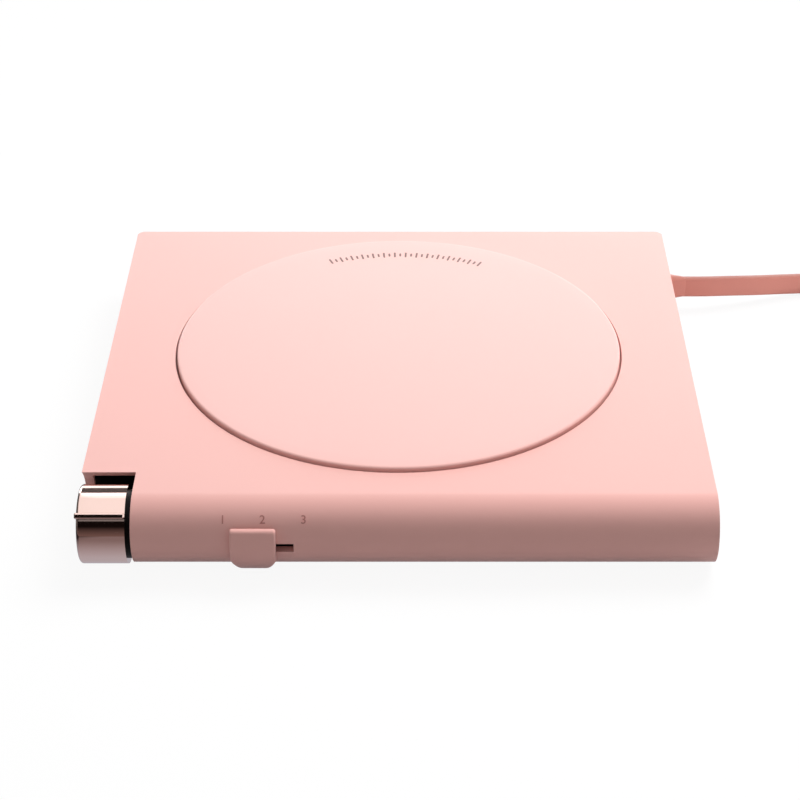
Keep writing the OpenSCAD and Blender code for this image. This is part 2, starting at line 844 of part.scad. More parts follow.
module rotary_switch() {
    color(steel) difference() {
        union() {
            rod_x(case_r, bracket_end, case_l, nose_y, nose_z);
            rod_x(bush_r, bush_end, bracket_end - bush_end + eps, nose_y, nose_z);
            for (i = [-1 : 1]) {
                translate([case_end - eps + case_pin[0] / 2, nose_y + i * case_pin_pitch, nose_z])
                    cube(case_pin, center = true);
            }
        }
        rod_x(shaft_r + shaft_fit, bush_end - 1, rotor_x - bush_end + 1, nose_y, nose_z);
        rod_x(rotor_r + rotor_room, rotor_x - rotor_gap, rotor_l + 2 * rotor_gap, nose_y, nose_z);
    }
}

module switch_nut() {
    color("goldenrod") difference() {
        translate([nut_x, nose_y, nose_z]) rotate([0, 90, 0]) cylinder(r = nut_d / 2, h = nut_t, $fn = 6);
        rod_x(bush_r, nut_x - 1, nut_t + 2, nose_y, nose_z);
    }
}

// Shaft with a flat at the knob's end and a rotor inside the switch
module shaft_form(r) {
    difference() {
        rod_x(r, shaft_start, rotor_x - shaft_start + eps, nose_y, nose_z);
        translate([shaft_start - 1, nose_y - 2 * r, nose_z + r - shaft_flat])
            cube([pocket_x - shaft_start + 1, 4 * r, r]);
    }
}

module switch_shaft() {
    color("silver") {
        shaft_form(shaft_r);
        rod_x(rotor_r, rotor_x, rotor_l, nose_y, nose_z);
    }
}

// Three wires from the rotary switch down to the board
module switch_wires() {
    start = case_end + case_pin[0];
    color("white") for (i = [-1 : 1]) {
        y = nose_y + i * case_pin_pitch;
        wire([
            [start, y, nose_z], [start + 0.7, y, nose_z - 0.1], [start + 1.7, y, nose_z - 0.7],
            [start + 3, y, board_top + 1.1], [start + 4.2, y, board_top + 0.5],
            [start + 5.4, y, board_top + thin_wire_r]
        ], thin_wire_r);
    }
}

// Black wall beside the knob, with the switch's hole, and a wall behind the knob
module knob_bracket() {
    gap = wall + bracket_gap;
    bottom = cover_z + bracket_gap;
    back = bracket_y + bracket_t;
    color(black) difference() {
        union() {
            intersection() {
                along_x(bracket_x, bracket_t) side_outline(gap);
                translate([bracket_x, nose_y - nose_r, 0]) cube([bracket_t, back - nose_y + nose_r, top_z]);
            }
            translate([gap - side_x, bracket_y, bottom])
                cube([bracket_end + side_x - gap, bracket_t, skin_z - bracket_gap - bottom]);
        }
        rod_x(bush_r, bracket_x - 1, bracket_t + 2, nose_y, nose_z);
        translate([bracket_x - 1, nose_y + lip - 0.2, 0]) cube([bracket_t + 2, back, bottom]);
    }
}

// Black core inside the barrel, pressed on the shaft, hollow round the nut
module knob_core() {
    start = barrel_x + barrel_wall;
    color(black) difference() {
        rod_x(core_r, start, core_end - start, nose_y, nose_z);
        rod_x(pocket_r, pocket_x, core_end - pocket_x + 1, nose_y, nose_z);
        shaft_form(shaft_r);
    }
}

// Chrome cap over the core, closed at the outer end, with one rib along it
module knob_barrel() {
    soft = barrel_soft;
    color("silver") translate([barrel_x, nose_y, nose_z]) rotate([0, 90, 0]) difference() {
        union() {
            rotate_extrude() polygon([
                [0, 0], [barrel_r - soft, 0], [barrel_r - soft * 0.3, soft * 0.3], [barrel_r, soft],
                [barrel_r, barrel_l], [0, barrel_l]
            ]);
            rotate(270 - rib_angle) rib();
        }
        translate([0, 0, barrel_wall]) cylinder(r = core_r, h = barrel_l);
    }
}

// Rib along the barrel, from its axis outwards
module rib() {
    translate([barrel_r - rib_root, -rib_w / 2, -barrel_inset])
        cube([rib_proud + rib_root, rib_w, barrel_l + barrel_inset]);
}

// ---- cord ----

module cord_grommet() {
    low = cover_z + 0.1;
    flange_y = hole_t + 2 * grommet_flange_w;
    color(cord_pink) difference() {
        union() {
            translate([side_x - wall, cord_y, cord_z]) rotate([90, 0, 90]) linear_extrude(wall)
                slot_outline(hole_h, hole_t);
            translate([side_x - wall - grommet_flange_t, cord_y - flange_y / 2, low])
                cube([grommet_flange_t, flange_y, cord_z + hole_h / 2 + grommet_flange_w / 2 - low]);
            hull() {
                nose_slice(side_x, nose_flare);
                nose_slice(side_x + nose_l - nose_slice_l, nose_flare / 3);
            }
        }
        translate([side_x - 10, cord_y, cord_z]) rotate([90, 0, 90]) linear_extrude(20) ribbon_outline();
    }
}

// Thin slice of the grommet's nose at x, with room left round the cord
module nose_slice(x, room) {
    along_x(x, nose_slice_l) translate([cord_y, cord_z]) slot_outline(cord_w + 2 * room, cord_t + 2 * room);
}

module ribbon_outline() {
    polygon(ribbon_section);
}

module cord_inner() {
    color(cord_pink) translate([inner_end, cord_y, cord_z]) rotate([90, 0, 90])
        linear_extrude(side_x - inner_end) ribbon_outline();
}

// Bar that holds the cord down on the cover's two posts
module cord_clamp() {
    start = clamp_x - clamp_l / 2;
    arm = clamp_post_y + clamp_post_r;
    roof = cord_z + cord_w / 2;
    color(black) difference() {
        union() {
            translate([start, cord_y - arm, clamp_bar_z]) cube([clamp_l, 2 * arm, clamp_bar_t]);
            translate([start, cord_y - cord_t / 2 - bridge_t, clamp_bar_z])
                cube([clamp_l, cord_t + 2 * bridge_t, roof + bridge_roof - clamp_bar_z]);
        }
        translate([clamp_x - clamp_l, cord_y - cord_t / 2, 0]) cube([2 * clamp_l, cord_t, roof]);
        for (side = [-1, 1]) {
            translate([clamp_x, cord_y + side * clamp_post_y, 0])
                cylinder(r = small_screw_r, h = top_z, $fn = small_fn);
        }
    }
}

module clamp_bar_screws() {
    color(steel) for (side = [-1, 1]) {
        translate([clamp_x, cord_y + side * clamp_post_y, clamp_bar_z + clamp_bar_t])
            small_screw_down(clamp_bar_screw_l, $fn = small_fn);
    }
}

// Two wires from the end of the flat cord to the board, their bends a few steps apart
module power_wires() {
    step = wire_step;
    low = board_top + wire_r;
    for (i = [0, 1]) color(i == 0 ? "red" : "black") {
        z = cord_z + (0.5 - i) * wire_gap;
        x = wire_end_x - i * step;
        wire([
            [inner_end, cord_y, z],
            [inner_end - step, cord_y - 0.2 * step, z],
            [inner_end - 3 * step, cord_y - (1.7 + 0.7 * i) * step, z],
            [inner_end - 5 * step, cord_y - (5 + 0.7 * i) * step, z],
            [inner_end - (6.3 + 0.3 * i) * step, cord_y - 9.3 * step, z + 0.1 * step],
            [x + 1.7 * step, cord_y - 14.6 * step, low + 0.3 * step],
            [x + 0.3 * step, wire_end_y + 3 * step, low + 0.3 * step],
            [x, wire_end_y + step, low + 0.1 * step],
            [x, wire_end_y, low]
        ], wire_r);
    }
}

module cord_lead() {
    color(cord_pink) ribbon(lead_points);
}

// Solid round form of the wound turns, its middle open
module cord_coil() {
    color(cord_pink) translate([coil_x, coil_y, coil_z]) difference() {
        cylinder(r = coil_out_r, h = cord_w);
        translate([0, 0, -1]) cylinder(r = coil_in_r, h = cord_w + 2);
    }
}

// The two half circles in the middle of the coil, the first one clockwise
module cord_loop() {
    points = [
        for (half = [0, 1], i = [0 : bend_steps])
            if (half == 0 || i > 0)
                let (
                    sweep = (180 - bend_end) * i / bend_steps,
                    turn = half == 0 ? bend_angle - bend_end - sweep : bend_angle + sweep,
                    side = half == 0 ? 1 : -1
                )
                [
                    coil_x + bend_r * (side * cos(bend_angle) + cos(turn)),
                    coil_y + bend_r * (side * sin(bend_angle) + sin(turn)),
                    bend_z,
                    half == 0 ? turn - 90 : turn + 90
                ]
    ];
    color(cord_pink) ribbon(points);
}

module cord_tail() {
    color(cord_pink) ribbon(tail_points);
}

// Places something at the plug's back end, its length along Z and its width across the table
module at_plug() {
    translate([plug_x, plug_y, plug_body_t / 2]) rotate([0, 0, plug_angle]) rotate([90, 0, 90]) children();
}

// Box with round edges along its length
module soft_bar(w, t, l, r) {
    linear_extrude(l) {
        square([w - 2 * r, t], center = true);
        square([w, t - 2 * r], center = true);
        for (x = [-1, 1], y = [-1, 1]) {
            translate([x * (w / 2 - r), y * (t / 2 - r)]) circle(r = r, $fn = small_fn);
        }
    }
}

module plug_body() {
    color(cord_pink) at_plug() difference() {
        soft_bar(plug_body_w, plug_body_t, plug_body_l, plug_edge_r);
        translate([0, 0, plug_body_l - plug_seat]) linear_extrude(plug_seat + 1)
            square([plug_shell_w, plug_shell_t], center = true);
    }
}

module plug_shell() {
    color(steel) at_plug() translate([0, 0, plug_body_l - plug_seat]) difference() {
        linear_extrude(plug_shell_l + plug_seat) square([plug_shell_w, plug_shell_t], center = true);
        translate([0, 0, -1]) linear_extrude(plug_shell_l + plug_seat + 2)
            square([plug_fill_w, plug_fill_t], center = true);
        for (x = [-plug_window_x, plug_window_x]) translate([x, 0, plug_seat + plug_window_z])
            cube([plug_window, plug_shell_t + 1, plug_window], center = true);
    }
}

module plug_tongue() {
    color("white") at_plug() translate([0, 0, plug_body_l - plug_seat]) {
        linear_extrude(plug_seat) square([plug_fill_w, plug_fill_t], center = true);
        translate([-tongue_w / 2, -plug_fill_t / 2, plug_seat - eps]) cube([tongue_w, tongue_t, tongue_l]);
    }
}

module plug_contacts() {
    color("gold") at_plug() for (i = [0 : 3]) {
        x = (i - 1.5) * contact_pitch - contact_w / 2;
        translate([x, tongue_t - plug_fill_t / 2, plug_body_l + contact_start])
            cube([contact_w, contact_t, contact_l]);
    }
}

top_shell();
base_cover();
foot(-1, front_screw_y);  // foot_front_left
foot(1, front_screw_y);  // foot_front_right
foot(-1, back_screw_y);  // foot_back_left
foot(1, back_screw_y);  // foot_back_right
cover_screws();
heating_plate();
plate_gasket();
heater_film();
insulation_pad();
clamp_plate();
clamp_screws();
thermal_cutoff();
cutoff_clip();
thermistor();
heater_leads();
cutoff_leads();
thermistor_leads();
control_board();
control_chip();
power_transistor();
filter_capacitor();
board_screws();
slide_switch();
slide_lever();
slider_knob();
rotary_switch();
switch_nut();
switch_shaft();
switch_wires();
knob_bracket();
knob_core();
knob_barrel();
cord_grommet();
cord_inner();
cord_clamp();
clamp_bar_screws();
power_wires();
cord_lead();
cord_coil();
cord_loop();
cord_tail();
plug_body();
plug_shell();
plug_tongue();
plug_contacts();
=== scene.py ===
import json
import math
import bmesh
import bpy
from mathutils import Matrix, Vector


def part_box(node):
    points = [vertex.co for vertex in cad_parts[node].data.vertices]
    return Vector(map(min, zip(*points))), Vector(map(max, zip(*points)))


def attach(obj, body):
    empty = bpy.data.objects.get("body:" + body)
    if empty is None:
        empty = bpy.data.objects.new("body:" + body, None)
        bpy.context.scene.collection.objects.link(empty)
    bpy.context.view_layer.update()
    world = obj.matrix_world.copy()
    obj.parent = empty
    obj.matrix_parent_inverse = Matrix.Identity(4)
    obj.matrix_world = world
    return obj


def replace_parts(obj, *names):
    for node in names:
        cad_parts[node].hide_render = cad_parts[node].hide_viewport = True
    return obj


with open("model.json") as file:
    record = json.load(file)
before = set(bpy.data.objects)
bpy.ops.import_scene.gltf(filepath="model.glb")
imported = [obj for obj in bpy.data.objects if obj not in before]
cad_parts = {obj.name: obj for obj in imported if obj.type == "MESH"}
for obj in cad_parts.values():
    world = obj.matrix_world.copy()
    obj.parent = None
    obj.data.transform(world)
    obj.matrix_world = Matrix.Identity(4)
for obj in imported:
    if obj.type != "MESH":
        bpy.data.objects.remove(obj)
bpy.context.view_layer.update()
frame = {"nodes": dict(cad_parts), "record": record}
cadNodes = frame["nodes"]
mm = 0.001
print("frame loaded:", len(cadNodes), "nodes")


cameraSetup = {
    "place": (0.00269, -0.3696, 0.23918),
    "pitchDown": 32.334,      # degrees below level
    "lens": 94.03,
    "sensor": 36,
    "shiftX": -0.01447,
    "clipStart": 0.01,
}


def newObject(name, data):
    made = bpy.data.objects.new(name, data)
    bpy.context.scene.collection.objects.link(made)
    return made


def makeCamera(setup):
    data = bpy.data.cameras.new("camera")
    data.sensor_width = setup["sensor"]
    data.lens = setup["lens"]
    data.shift_x = setup["shiftX"]
    data.clip_start = setup["clipStart"]
    camera = newObject("camera", data)
    camera.location = setup["place"]
    camera.rotation_euler = (math.radians(90 - setup["pitchDown"]), 0, 0)
    bpy.context.scene.camera = camera


makeCamera(cameraSetup)
print("camera made")


edgeSetup = {
    "merge": 0.001 * mm,
    "cadMerge": 0.002 * mm,
    "flatAngle": 0.5,         # degrees, under which two neighbouring CAD faces become one
    "sharpAngle": 28,         # degrees, over which an edge is rounded
    "weight": 80,
}


def meshFrom(name, verts, faces, smooth=True):
    mesh = bpy.data.meshes.new(name)
    mesh.from_pydata([tuple(v) for v in verts], [], faces)
    mesh.validate()
    if smooth:
        mesh.shade_smooth()
    return mesh


def outward(mesh):
    # merges doubles and turns every face out
    bm = bmesh.new()
    bm.from_mesh(mesh)
    bmesh.ops.remove_doubles(bm, verts=bm.verts, dist=edgeSetup["merge"])
    bmesh.ops.recalc_face_normals(bm, faces=bm.faces)
    bm.to_mesh(mesh)
    bm.free()
    return mesh


def bake(piece):
    # turns the piece and its modifiers into one plain mesh
    graph = bpy.context.evaluated_depsgraph_get()
    mesh = bpy.data.meshes.new_from_object(piece.evaluated_get(graph))
    piece.modifiers.clear()
    old = piece.data
    piece.data = mesh
    bpy.data.meshes.remove(old)
    return piece


def paint(piece, material, body="housing"):
    piece.data.materials.clear()
    piece.data.materials.append(material)
    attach(piece, body)
    return piece


def arcPoints(centre, radius, start, end, steps):
    # points on an arc, angles in degrees, in the plane of a profile
    angles = [math.radians(start + (end - start) * i / steps) for i in range(steps + 1)]
    return [(centre[0] + radius * math.cos(a), centre[1] + radius * math.sin(a)) for a in angles]


def roundedSlot(height, thick, corner, steps):
    # outline of a bar with round corners, as (across, upright) from its centre
    points = []
    for sideX, sideY, start in ((1, 1, 0), (-1, 1, 90), (-1, -1, 180), (1, -1, 270)):
        middle = (sideX * (thick / 2 - corner), sideY * (height / 2 - corner))
        points += arcPoints(middle, corner, start, start + 90, steps)
    return points


def skin(rows, count, closed=False):
    # faces along rows of points, each row a ring; the two ends are capped, or joined where closed
    faces = []
    for i in range(rows if closed else rows - 1):
        low, high = i * count, (i + 1) % rows * count
        for k in range(count):
            n = (k + 1) % count
            faces.append((low + k, low + n, high + n, high + k))
    if not closed:
        faces += [tuple(range(count)), tuple(range((rows - 1) * count, rows * count))]
    return faces


def lathe(name, profile, segments, axis="Z", centre=(0, 0, 0)):
    # turns (radius, height) points once round an axis, poles closed
    verts, faces, rings = [], [], []
    for r, h in profile:
        if r == 0:
            rings.append([len(verts)])
            verts.append((0.0, 0.0, h))
        else:
            rings.append(list(range(len(verts), len(verts) + segments)))
            for k in range(segments):
                a = 2 * math.pi * k / segments
                verts.append((r * math.cos(a), r * math.sin(a), h))
    for low, high in zip(rings, rings[1:]):
        for k in range(segments):
            n = (k + 1) % segments
            if len(low) == 1 and len(high) == 1:
                continue
            if len(low) == 1:
                faces.append((low[0], high[n], high[k]))
            elif len(high) == 1:
                faces.append((low[k], low[n], high[0]))
            else:
                faces.append((low[k], low[n], high[n], high[k]))
    turn = Matrix.Rotation(math.radians(90), 4, "Y") if axis == "X" else Matrix.Identity(4)
    place = Matrix.Translation(centre) @ turn
    return outward(meshFrom(name, [place @ Vector(v) for v in verts], faces))


def softened(node, name, width, segments):
    # a merged copy of a CAD node with its sharp edges rounded
    mesh = cadNodes[node].data.copy()
    mesh.name = name
    bm = bmesh.new()
    bm.from_mesh(mesh)
    bmesh.ops.remove_doubles(bm, verts=bm.verts, dist=edgeSetup["cadMerge"])
    flatAngle = math.radians(edgeSetup["flatAngle"])
    bmesh.ops.dissolve_limit(bm, angle_limit=flatAngle, verts=bm.verts, edges=bm.edges)
    bm.to_mesh(mesh)
    bm.free()
    mesh.shade_smooth()
    piece = newObject(name, mesh)
    edge = piece.modifiers.new("edge", "BEVEL")
    edge.width = width
    edge.segments = segments
    edge.limit_method = "ANGLE"
    edge.angle_limit = math.radians(edgeSetup["sharpAngle"])
    edge.miter_outer = "MITER_ARC"
    flat = piece.modifiers.new("flat", "WEIGHTED_NORMAL")
    flat.mode = "FACE_AREA"
    flat.weight = edgeSetup["weight"]
    return bake(piece)


# The same route as the solids': places and radii in mm, turns and rolls in degrees
cordSetup = {
    "width": 4.7 * mm,
    "thick": 1.8 * mm,
    "corner": 0.55 * mm,
    "cornerSteps": 4,
    "lead": [
        (60, 48.3, 5.4), (63, 48.3, 5.4), (66, 48.3, 5.4), (70, 48.6, 5.25), (76, 49.8, 4.75),
        (82, 51.3, 4.05), (88, 53.1, 3.3), (94, 54.5, 2.75), (102, 55.7, 2.4), (112, 56.3, 2.4),
        (122, 56.4, 2.4), (133, 56.4, 2.4),
    ],
    "coilCentre": (133, 23.8),
    "coilZ": 2.4,
    "startRadius": 20,        # where the middle bend meets both arms
    "armPitch": 4.4,          # two arms, so turns lie 2.2 apart
    "leadTurn": 1030,
    "tailTurn": 1070,
    "leadAngle": 90,
    "turnStep": 6,            # degrees between points of the coil
    "bendStep": 9,
    "tail": [
        (154.3, -1.5, 2.4), (159.8, 3.2, 2.4), (165.4, 7.8, 2.4), (169.3, 12, 2.4),
        (172.4, 17.2, 2.45), (174, 22.7, 2.7), (174.8, 27.2, 3.25), (175.6, 31.8, 3.8),
    ],
    "tailRoll": [0, 0, 0, 0, 15, 45, 75, 90],
    "between": 12,            # points worked out from each given one to the next
    "step": 2.0 * mm,         # between rings
    "shortest": 0.3,          # share of a step that the last one has at least
}


def coilRoute(setup):
    # inward along one arm, back through an S in the middle, outward along the other
    cx, cy = setup["coilCentre"]
    start, pitch, level = setup["startRadius"], setup["armPitch"], setup["coilZ"]
    inner = setup["leadAngle"] - setup["leadTurn"]

    def onArm(turned, angle):
        radius = start + pitch * turned / 360
        a = math.radians(angle)
        return cx + radius * math.cos(a), cy + radius * math.sin(a), level

    lead = range(0, setup["leadTurn"], setup["turnStep"])
    route = [onArm(setup["leadTurn"] - turned, setup["leadAngle"] - turned) for turned in lead]
    bend = start / 2
    a = math.radians(inner)
    for half in (1, -1):
        for sweep in range(0, 180, setup["bendStep"]):
            turn = math.radians(inner - half * sweep)
            route.append((
                cx + bend * (half * math.cos(a) + math.cos(turn)),
                cy + bend * (half * math.sin(a) + math.sin(turn)),
                level,
            ))
    tail = range(0, setup["tailTurn"], setup["turnStep"])
    return route + [onArm(turned, inner + 180 + turned) for turned in tail]


def smoothThrough(points, setup):
    # evenly spaced points on a smooth curve through the given ones
    step, between = setup["step"], setup["between"]
    fine = []
    last = len(points) - 1
    for i in range(last):
        p0, p1 = points[max(i - 1, 0)], points[i]
        p2, p3 = points[i + 1], points[min(i + 2, last)]
        for k in range(between):
            t = k / between
            fine.append(0.5 * (
                2 * p1 + (p2 - p0) * t + (2 * p0 - 5 * p1 + 4 * p2 - p3) * t * t
                + (3 * p1 - p0 - 3 * p2 + p3) * t ** 3
            ))
    fine.append(points[-1])
    spaced, travelled = [fine[0]], 0.0
    for a, b in zip(fine, fine[1:]):
        gap = (b - a).length
        while travelled + gap >= step:
            a = a + (b - a) * ((step - travelled) / gap)
            spaced.append(a.copy())
            gap = (b - a).length
            travelled = 0.0
        travelled += gap
    if (spaced[-1] - fine[-1]).length < setup["shortest"] * step:
        spaced.pop()
    spaced.append(fine[-1])
    return spaced


def makeCord(setup):
    raw = setup["lead"][:-1] + coilRoute(setup) + setup["tail"]
    path = smoothThrough([Vector(p) * mm for p in raw], setup)
    last = len(path) - 1
    tailStart = Vector(setup["tail"][0]) * mm
    first = min(range(len(path)), key=lambda i: (path[i] - tailStart).length)
    rolls = setup["tailRoll"]
    outline = roundedSlot(setup["width"], setup["thick"], setup["corner"], setup["cornerSteps"])
    along = [0.0]
    for a, b in zip(path, path[1:]):
        along.append(along[-1] + (b - a).length)
    verts = []
    for i, p in enumerate(path):
        way = path[min(i + 1, last)] - path[max(i - 1, 0)]
        across = Vector((way.y, -way.x, 0)).normalized()
        share = max(0.0, (i - first) / (last - first)) * (len(rolls) - 1)
        low = min(int(share), len(rolls) - 2)
        roll = math.radians(rolls[low] + (rolls[low + 1] - rolls[low]) * (share - low))
        for u, v in outline:
            side = u * math.cos(roll) + v * math.sin(roll)
            lift = v * math.cos(roll) - u * math.sin(roll)
            verts.append(p + side * across + Vector((0, 0, lift)))
    count = len(outline)
    mesh = outward(meshFrom("flat_cord", verts, skin(len(path), count)))
    layer = mesh.uv_layers.new(name="along")
    for loop in mesh.loops:
        i, k = divmod(loop.vertex_index, count)
        layer.data[loop.index].uv = (along[i], k / count)
    return newObject("flat_cord", mesh), path, along[-1]


flatCord, cordPath, cordLength = makeCord(cordSetup)
print("cord made, length", round(cordLength, 3), "m")


def srgb(r, g, b):
    # 0 to 255 as seen, to the linear values that a socket takes
    def linear(c):
        c = c / 255
        return c / 12.92 if c <= 0.04045 else ((c + 0.055) / 1.055) ** 2.4
    return (linear(r), linear(g), linear(b), 1.0)


def addNode(tree, kind, inputs=None, **settings):
    # a node with its settings, and with inputs that are sockets or plain values
    node = tree.nodes.new(kind)
    for name, value in settings.items():
        setattr(node, name, value)
    for name, value in (inputs or {}).items():
        if hasattr(value, "is_output"):
            tree.links.new(value, node.inputs[name])
        else:
            node.inputs[name].default_value = value
    return node


def newTree(name, kind, inputs, output):
    # an empty node group, the sockets that it is given, and the socket of its result
    tree = bpy.data.node_groups.new(name, kind)
    for label, socketKind, value in inputs:
        socket = tree.interface.new_socket(label, in_out="INPUT", socket_type="NodeSocket" + socketKind)
        if value is not None:
            socket.default_value = value
    tree.interface.new_socket(output[0], in_out="OUTPUT", socket_type="NodeSocket" + output[1])
    given = tree.nodes.new("NodeGroupInput")
    result = tree.nodes.new("NodeGroupOutput")
    return tree, given.outputs, result.inputs[0]


def calc(tree, operation, *values, clamp=False):
    # a math node whose inputs are sockets or numbers
    inputs = dict(enumerate(values))
    return addNode(tree, "ShaderNodeMath", inputs, operation=operation, use_clamp=clamp).outputs[0]


def noise(tree, vector, scale, detail, roughness=0.5):
    inputs = {"Vector": vector, "Scale": scale, "Detail": detail, "Roughness": roughness}
    return addNode(tree, "ShaderNodeTexNoise", inputs).outputs["Fac"]


def rampOn(tree, value, fromLow, fromHigh, toLow, toHigh):
    return addNode(tree, "ShaderNodeMapRange", {
        "Value": value, "From Min": fromLow, "From Max": fromHigh, "To Min": toLow, "To Max": toHigh,
    }).outputs["Result"]


def mixColor(tree, fac, a, b):
    return addNode(tree, "ShaderNodeMix", {0: fac, 6: a, 7: b}, data_type="RGBA").outputs[2]


def useGroup(tree, group, inputs):
    return addNode(tree, "ShaderNodeGroup", inputs, node_tree=group).outputs[0]


patternSetup = {
    "fineScale": 0.7,         # share of the grain's scale
    "broadScale": 0.08,
    "broadPart": 0.35,
    "speckScale": 45,         # times the scale of the colour's drift
    "speckPart": 0.35,
    "edgeMarkScale": 900.0,
    "edgeMarkRadius": 0.25 * mm,
    "creviceReach": 1.2 * mm,
    "creviceRange": (0.05, 0.45),
}


def buildGrainGroup(setup):
    # fine moulded or cast grain: shallow cells with a softer wave under them
    group, given, result = newTree("moldedGrain", "ShaderNodeTree", [
        ("Vector", "Vector", None), ("Scale", "Float", 4000.0), ("Cells", "Float", 0.5),
    ], ("Height", "Float"))
    place, scale = given["Vector"], given["Scale"]
    cells = addNode(group, "ShaderNodeTexVoronoi", {"Vector": place, "Scale": scale}, feature="SMOOTH_F1")
    fine = noise(group, place, calc(group, "MULTIPLY", scale, setup["fineScale"]), 3)
    broad = noise(group, place, calc(group, "MULTIPLY", scale, setup["broadScale"]), 2)
    part = calc(group, "MULTIPLY", cells.outputs["Distance"], given["Cells"])
    wave = calc(group, "MULTIPLY_ADD", broad, setup["broadPart"], fine)
    group.links.new(calc(group, "ADD", part, wave), result)
    return group


def buildDriftGroup(setup):
    # a colour that drifts a little, broadly and in fine specks
    group, given, result = newTree("colorDrift", "ShaderNodeTree", [
        ("Vector", "Vector", None), ("Color", "Color", (1, 1, 1, 1)), ("Other", "Color", (1, 1, 1, 1)),
        ("Scale", "Float", 30.0), ("Amount", "Float", 0.5),
    ], ("Color", "Color"))
    place, scale = given["Vector"], given["Scale"]
    broad = noise(group, place, scale, 2)
    speck = noise(group, place, calc(group, "MULTIPLY", scale, setup["speckScale"]), 2)
    broad = calc(group, "MULTIPLY", broad, 1 - setup["speckPart"])
    both = calc(group, "MULTIPLY_ADD", speck, setup["speckPart"], broad)
    fac = calc(group, "MULTIPLY", both, given["Amount"], clamp=True)
    group.links.new(mixColor(group, fac, given["Color"], given["Other"]), result)
    return group


def buildRoughGroup():
    # roughness with faint handling marks
    group, given, result = newTree("handledRoughness", "ShaderNodeTree", [
        ("Vector", "Vector", None), ("Base", "Float", 0.5), ("Spread", "Float", 0.06),
        ("Scale", "Float", 60.0),
    ], ("Roughness", "Float"))
    marks = noise(group, given["Vector"], given["Scale"], 4, 0.6)
    shifted = calc(group, "SUBTRACT", marks, 0.5)
    group.links.new(calc(group, "MULTIPLY_ADD", shifted, given["Spread"], given["Base"]), result)
    return group


def buildWearAndHighlightGroup(setup):
    # mask of the outer and inner edges, broken up by noise, that lightens them: wear on the metal and black
    # parts, a painted edge highlight on the shell and plate
    group, given, result = newTree("edgeWearAndHighlight", "ShaderNodeTree", [
        ("Vector", "Vector", None), ("Reach", "Float", 6.0), ("Radius", "Float", setup["edgeMarkRadius"]),
    ], ("Mask", "Float"))
    shape = addNode(group, "ShaderNodeNewGeometry").outputs["Normal"]
    soft = addNode(group, "ShaderNodeBevel", {"Radius": given["Radius"]}, samples=4).outputs["Normal"]
    facing = addNode(group, "ShaderNodeVectorMath", {0: shape, 1: soft}, operation="DOT_PRODUCT")
    edge = calc(group, "SUBTRACT", 1.0, facing.outputs["Value"])
    edge = calc(group, "MULTIPLY", edge, given["Reach"], clamp=True)
    broken = noise(group, given["Vector"], setup["edgeMarkScale"], 4, 0.6)
    group.links.new(calc(group, "MULTIPLY", edge, broken, clamp=True), result)
    return group


def buildCreviceShadeGroup(setup):
    # painted shade: the colour gets darker in narrow gaps, where little light gets in
    group, given, result = newTree("creviceShade", "ShaderNodeTree", [
        ("Color", "Color", (1, 1, 1, 1)), ("Reach", "Float", setup["creviceReach"]), ("Dark", "Float", 0.4),
    ], ("Color", "Color"))
    near = addNode(group, "ShaderNodeAmbientOcclusion", {"Distance": given["Reach"]}, samples=8)
    closed, clear = setup["creviceRange"]
    ramp = rampOn(group, near.outputs["AO"], closed, clear, given["Dark"], 1)
    scaled = addNode(group, "ShaderNodeVectorMath", {0: given["Color"], "Scale": ramp}, operation="SCALE")
    group.links.new(scaled.outputs["Vector"], result)
    return group


grainGroup = buildGrainGroup(patternSetup)
driftGroup = buildDriftGroup(patternSetup)
roughGroup = buildRoughGroup()
wearAndHighlightGroup = buildWearAndHighlightGroup(patternSetup)
creviceShadeGroup = buildCreviceShadeGroup(patternSetup)


def grainHeight(tree, look, place, along):
    cells = {"Vector": along, "Scale": look["grainScale"], "Cells": look["cells"]}
    return useGroup(tree, grainGroup, cells)


def polishHeight(tree, look, place, along):
    # hairline polish marks round the axis
    return noise(tree, along, look["lineScale"], 3)


def jacketHeight(tree, look, place, along):
    # long faint drawing lines from extrusion, finer grain over them
    lines = noise(tree, along, look["lineScale"], 3)
    return calc(tree, "MULTIPLY_ADD", lines, look["linePart"], grainHeight(tree, look, place, place))


# what a finish has where its own dictionary doesn't say otherwise
plainLook = {
    "driftScale": 25.0, "drift": 0.5, "reach": 6.0, "spread": 0.08, "roughScale": 70.0, "metal": 0.0,
    "ior": 1.46, "sheenRough": 0.5, "follows": "Object", "grainScale": 3500.0, "cells": 0.5,
    "bump": 0.15, "depth": 0.02,
}


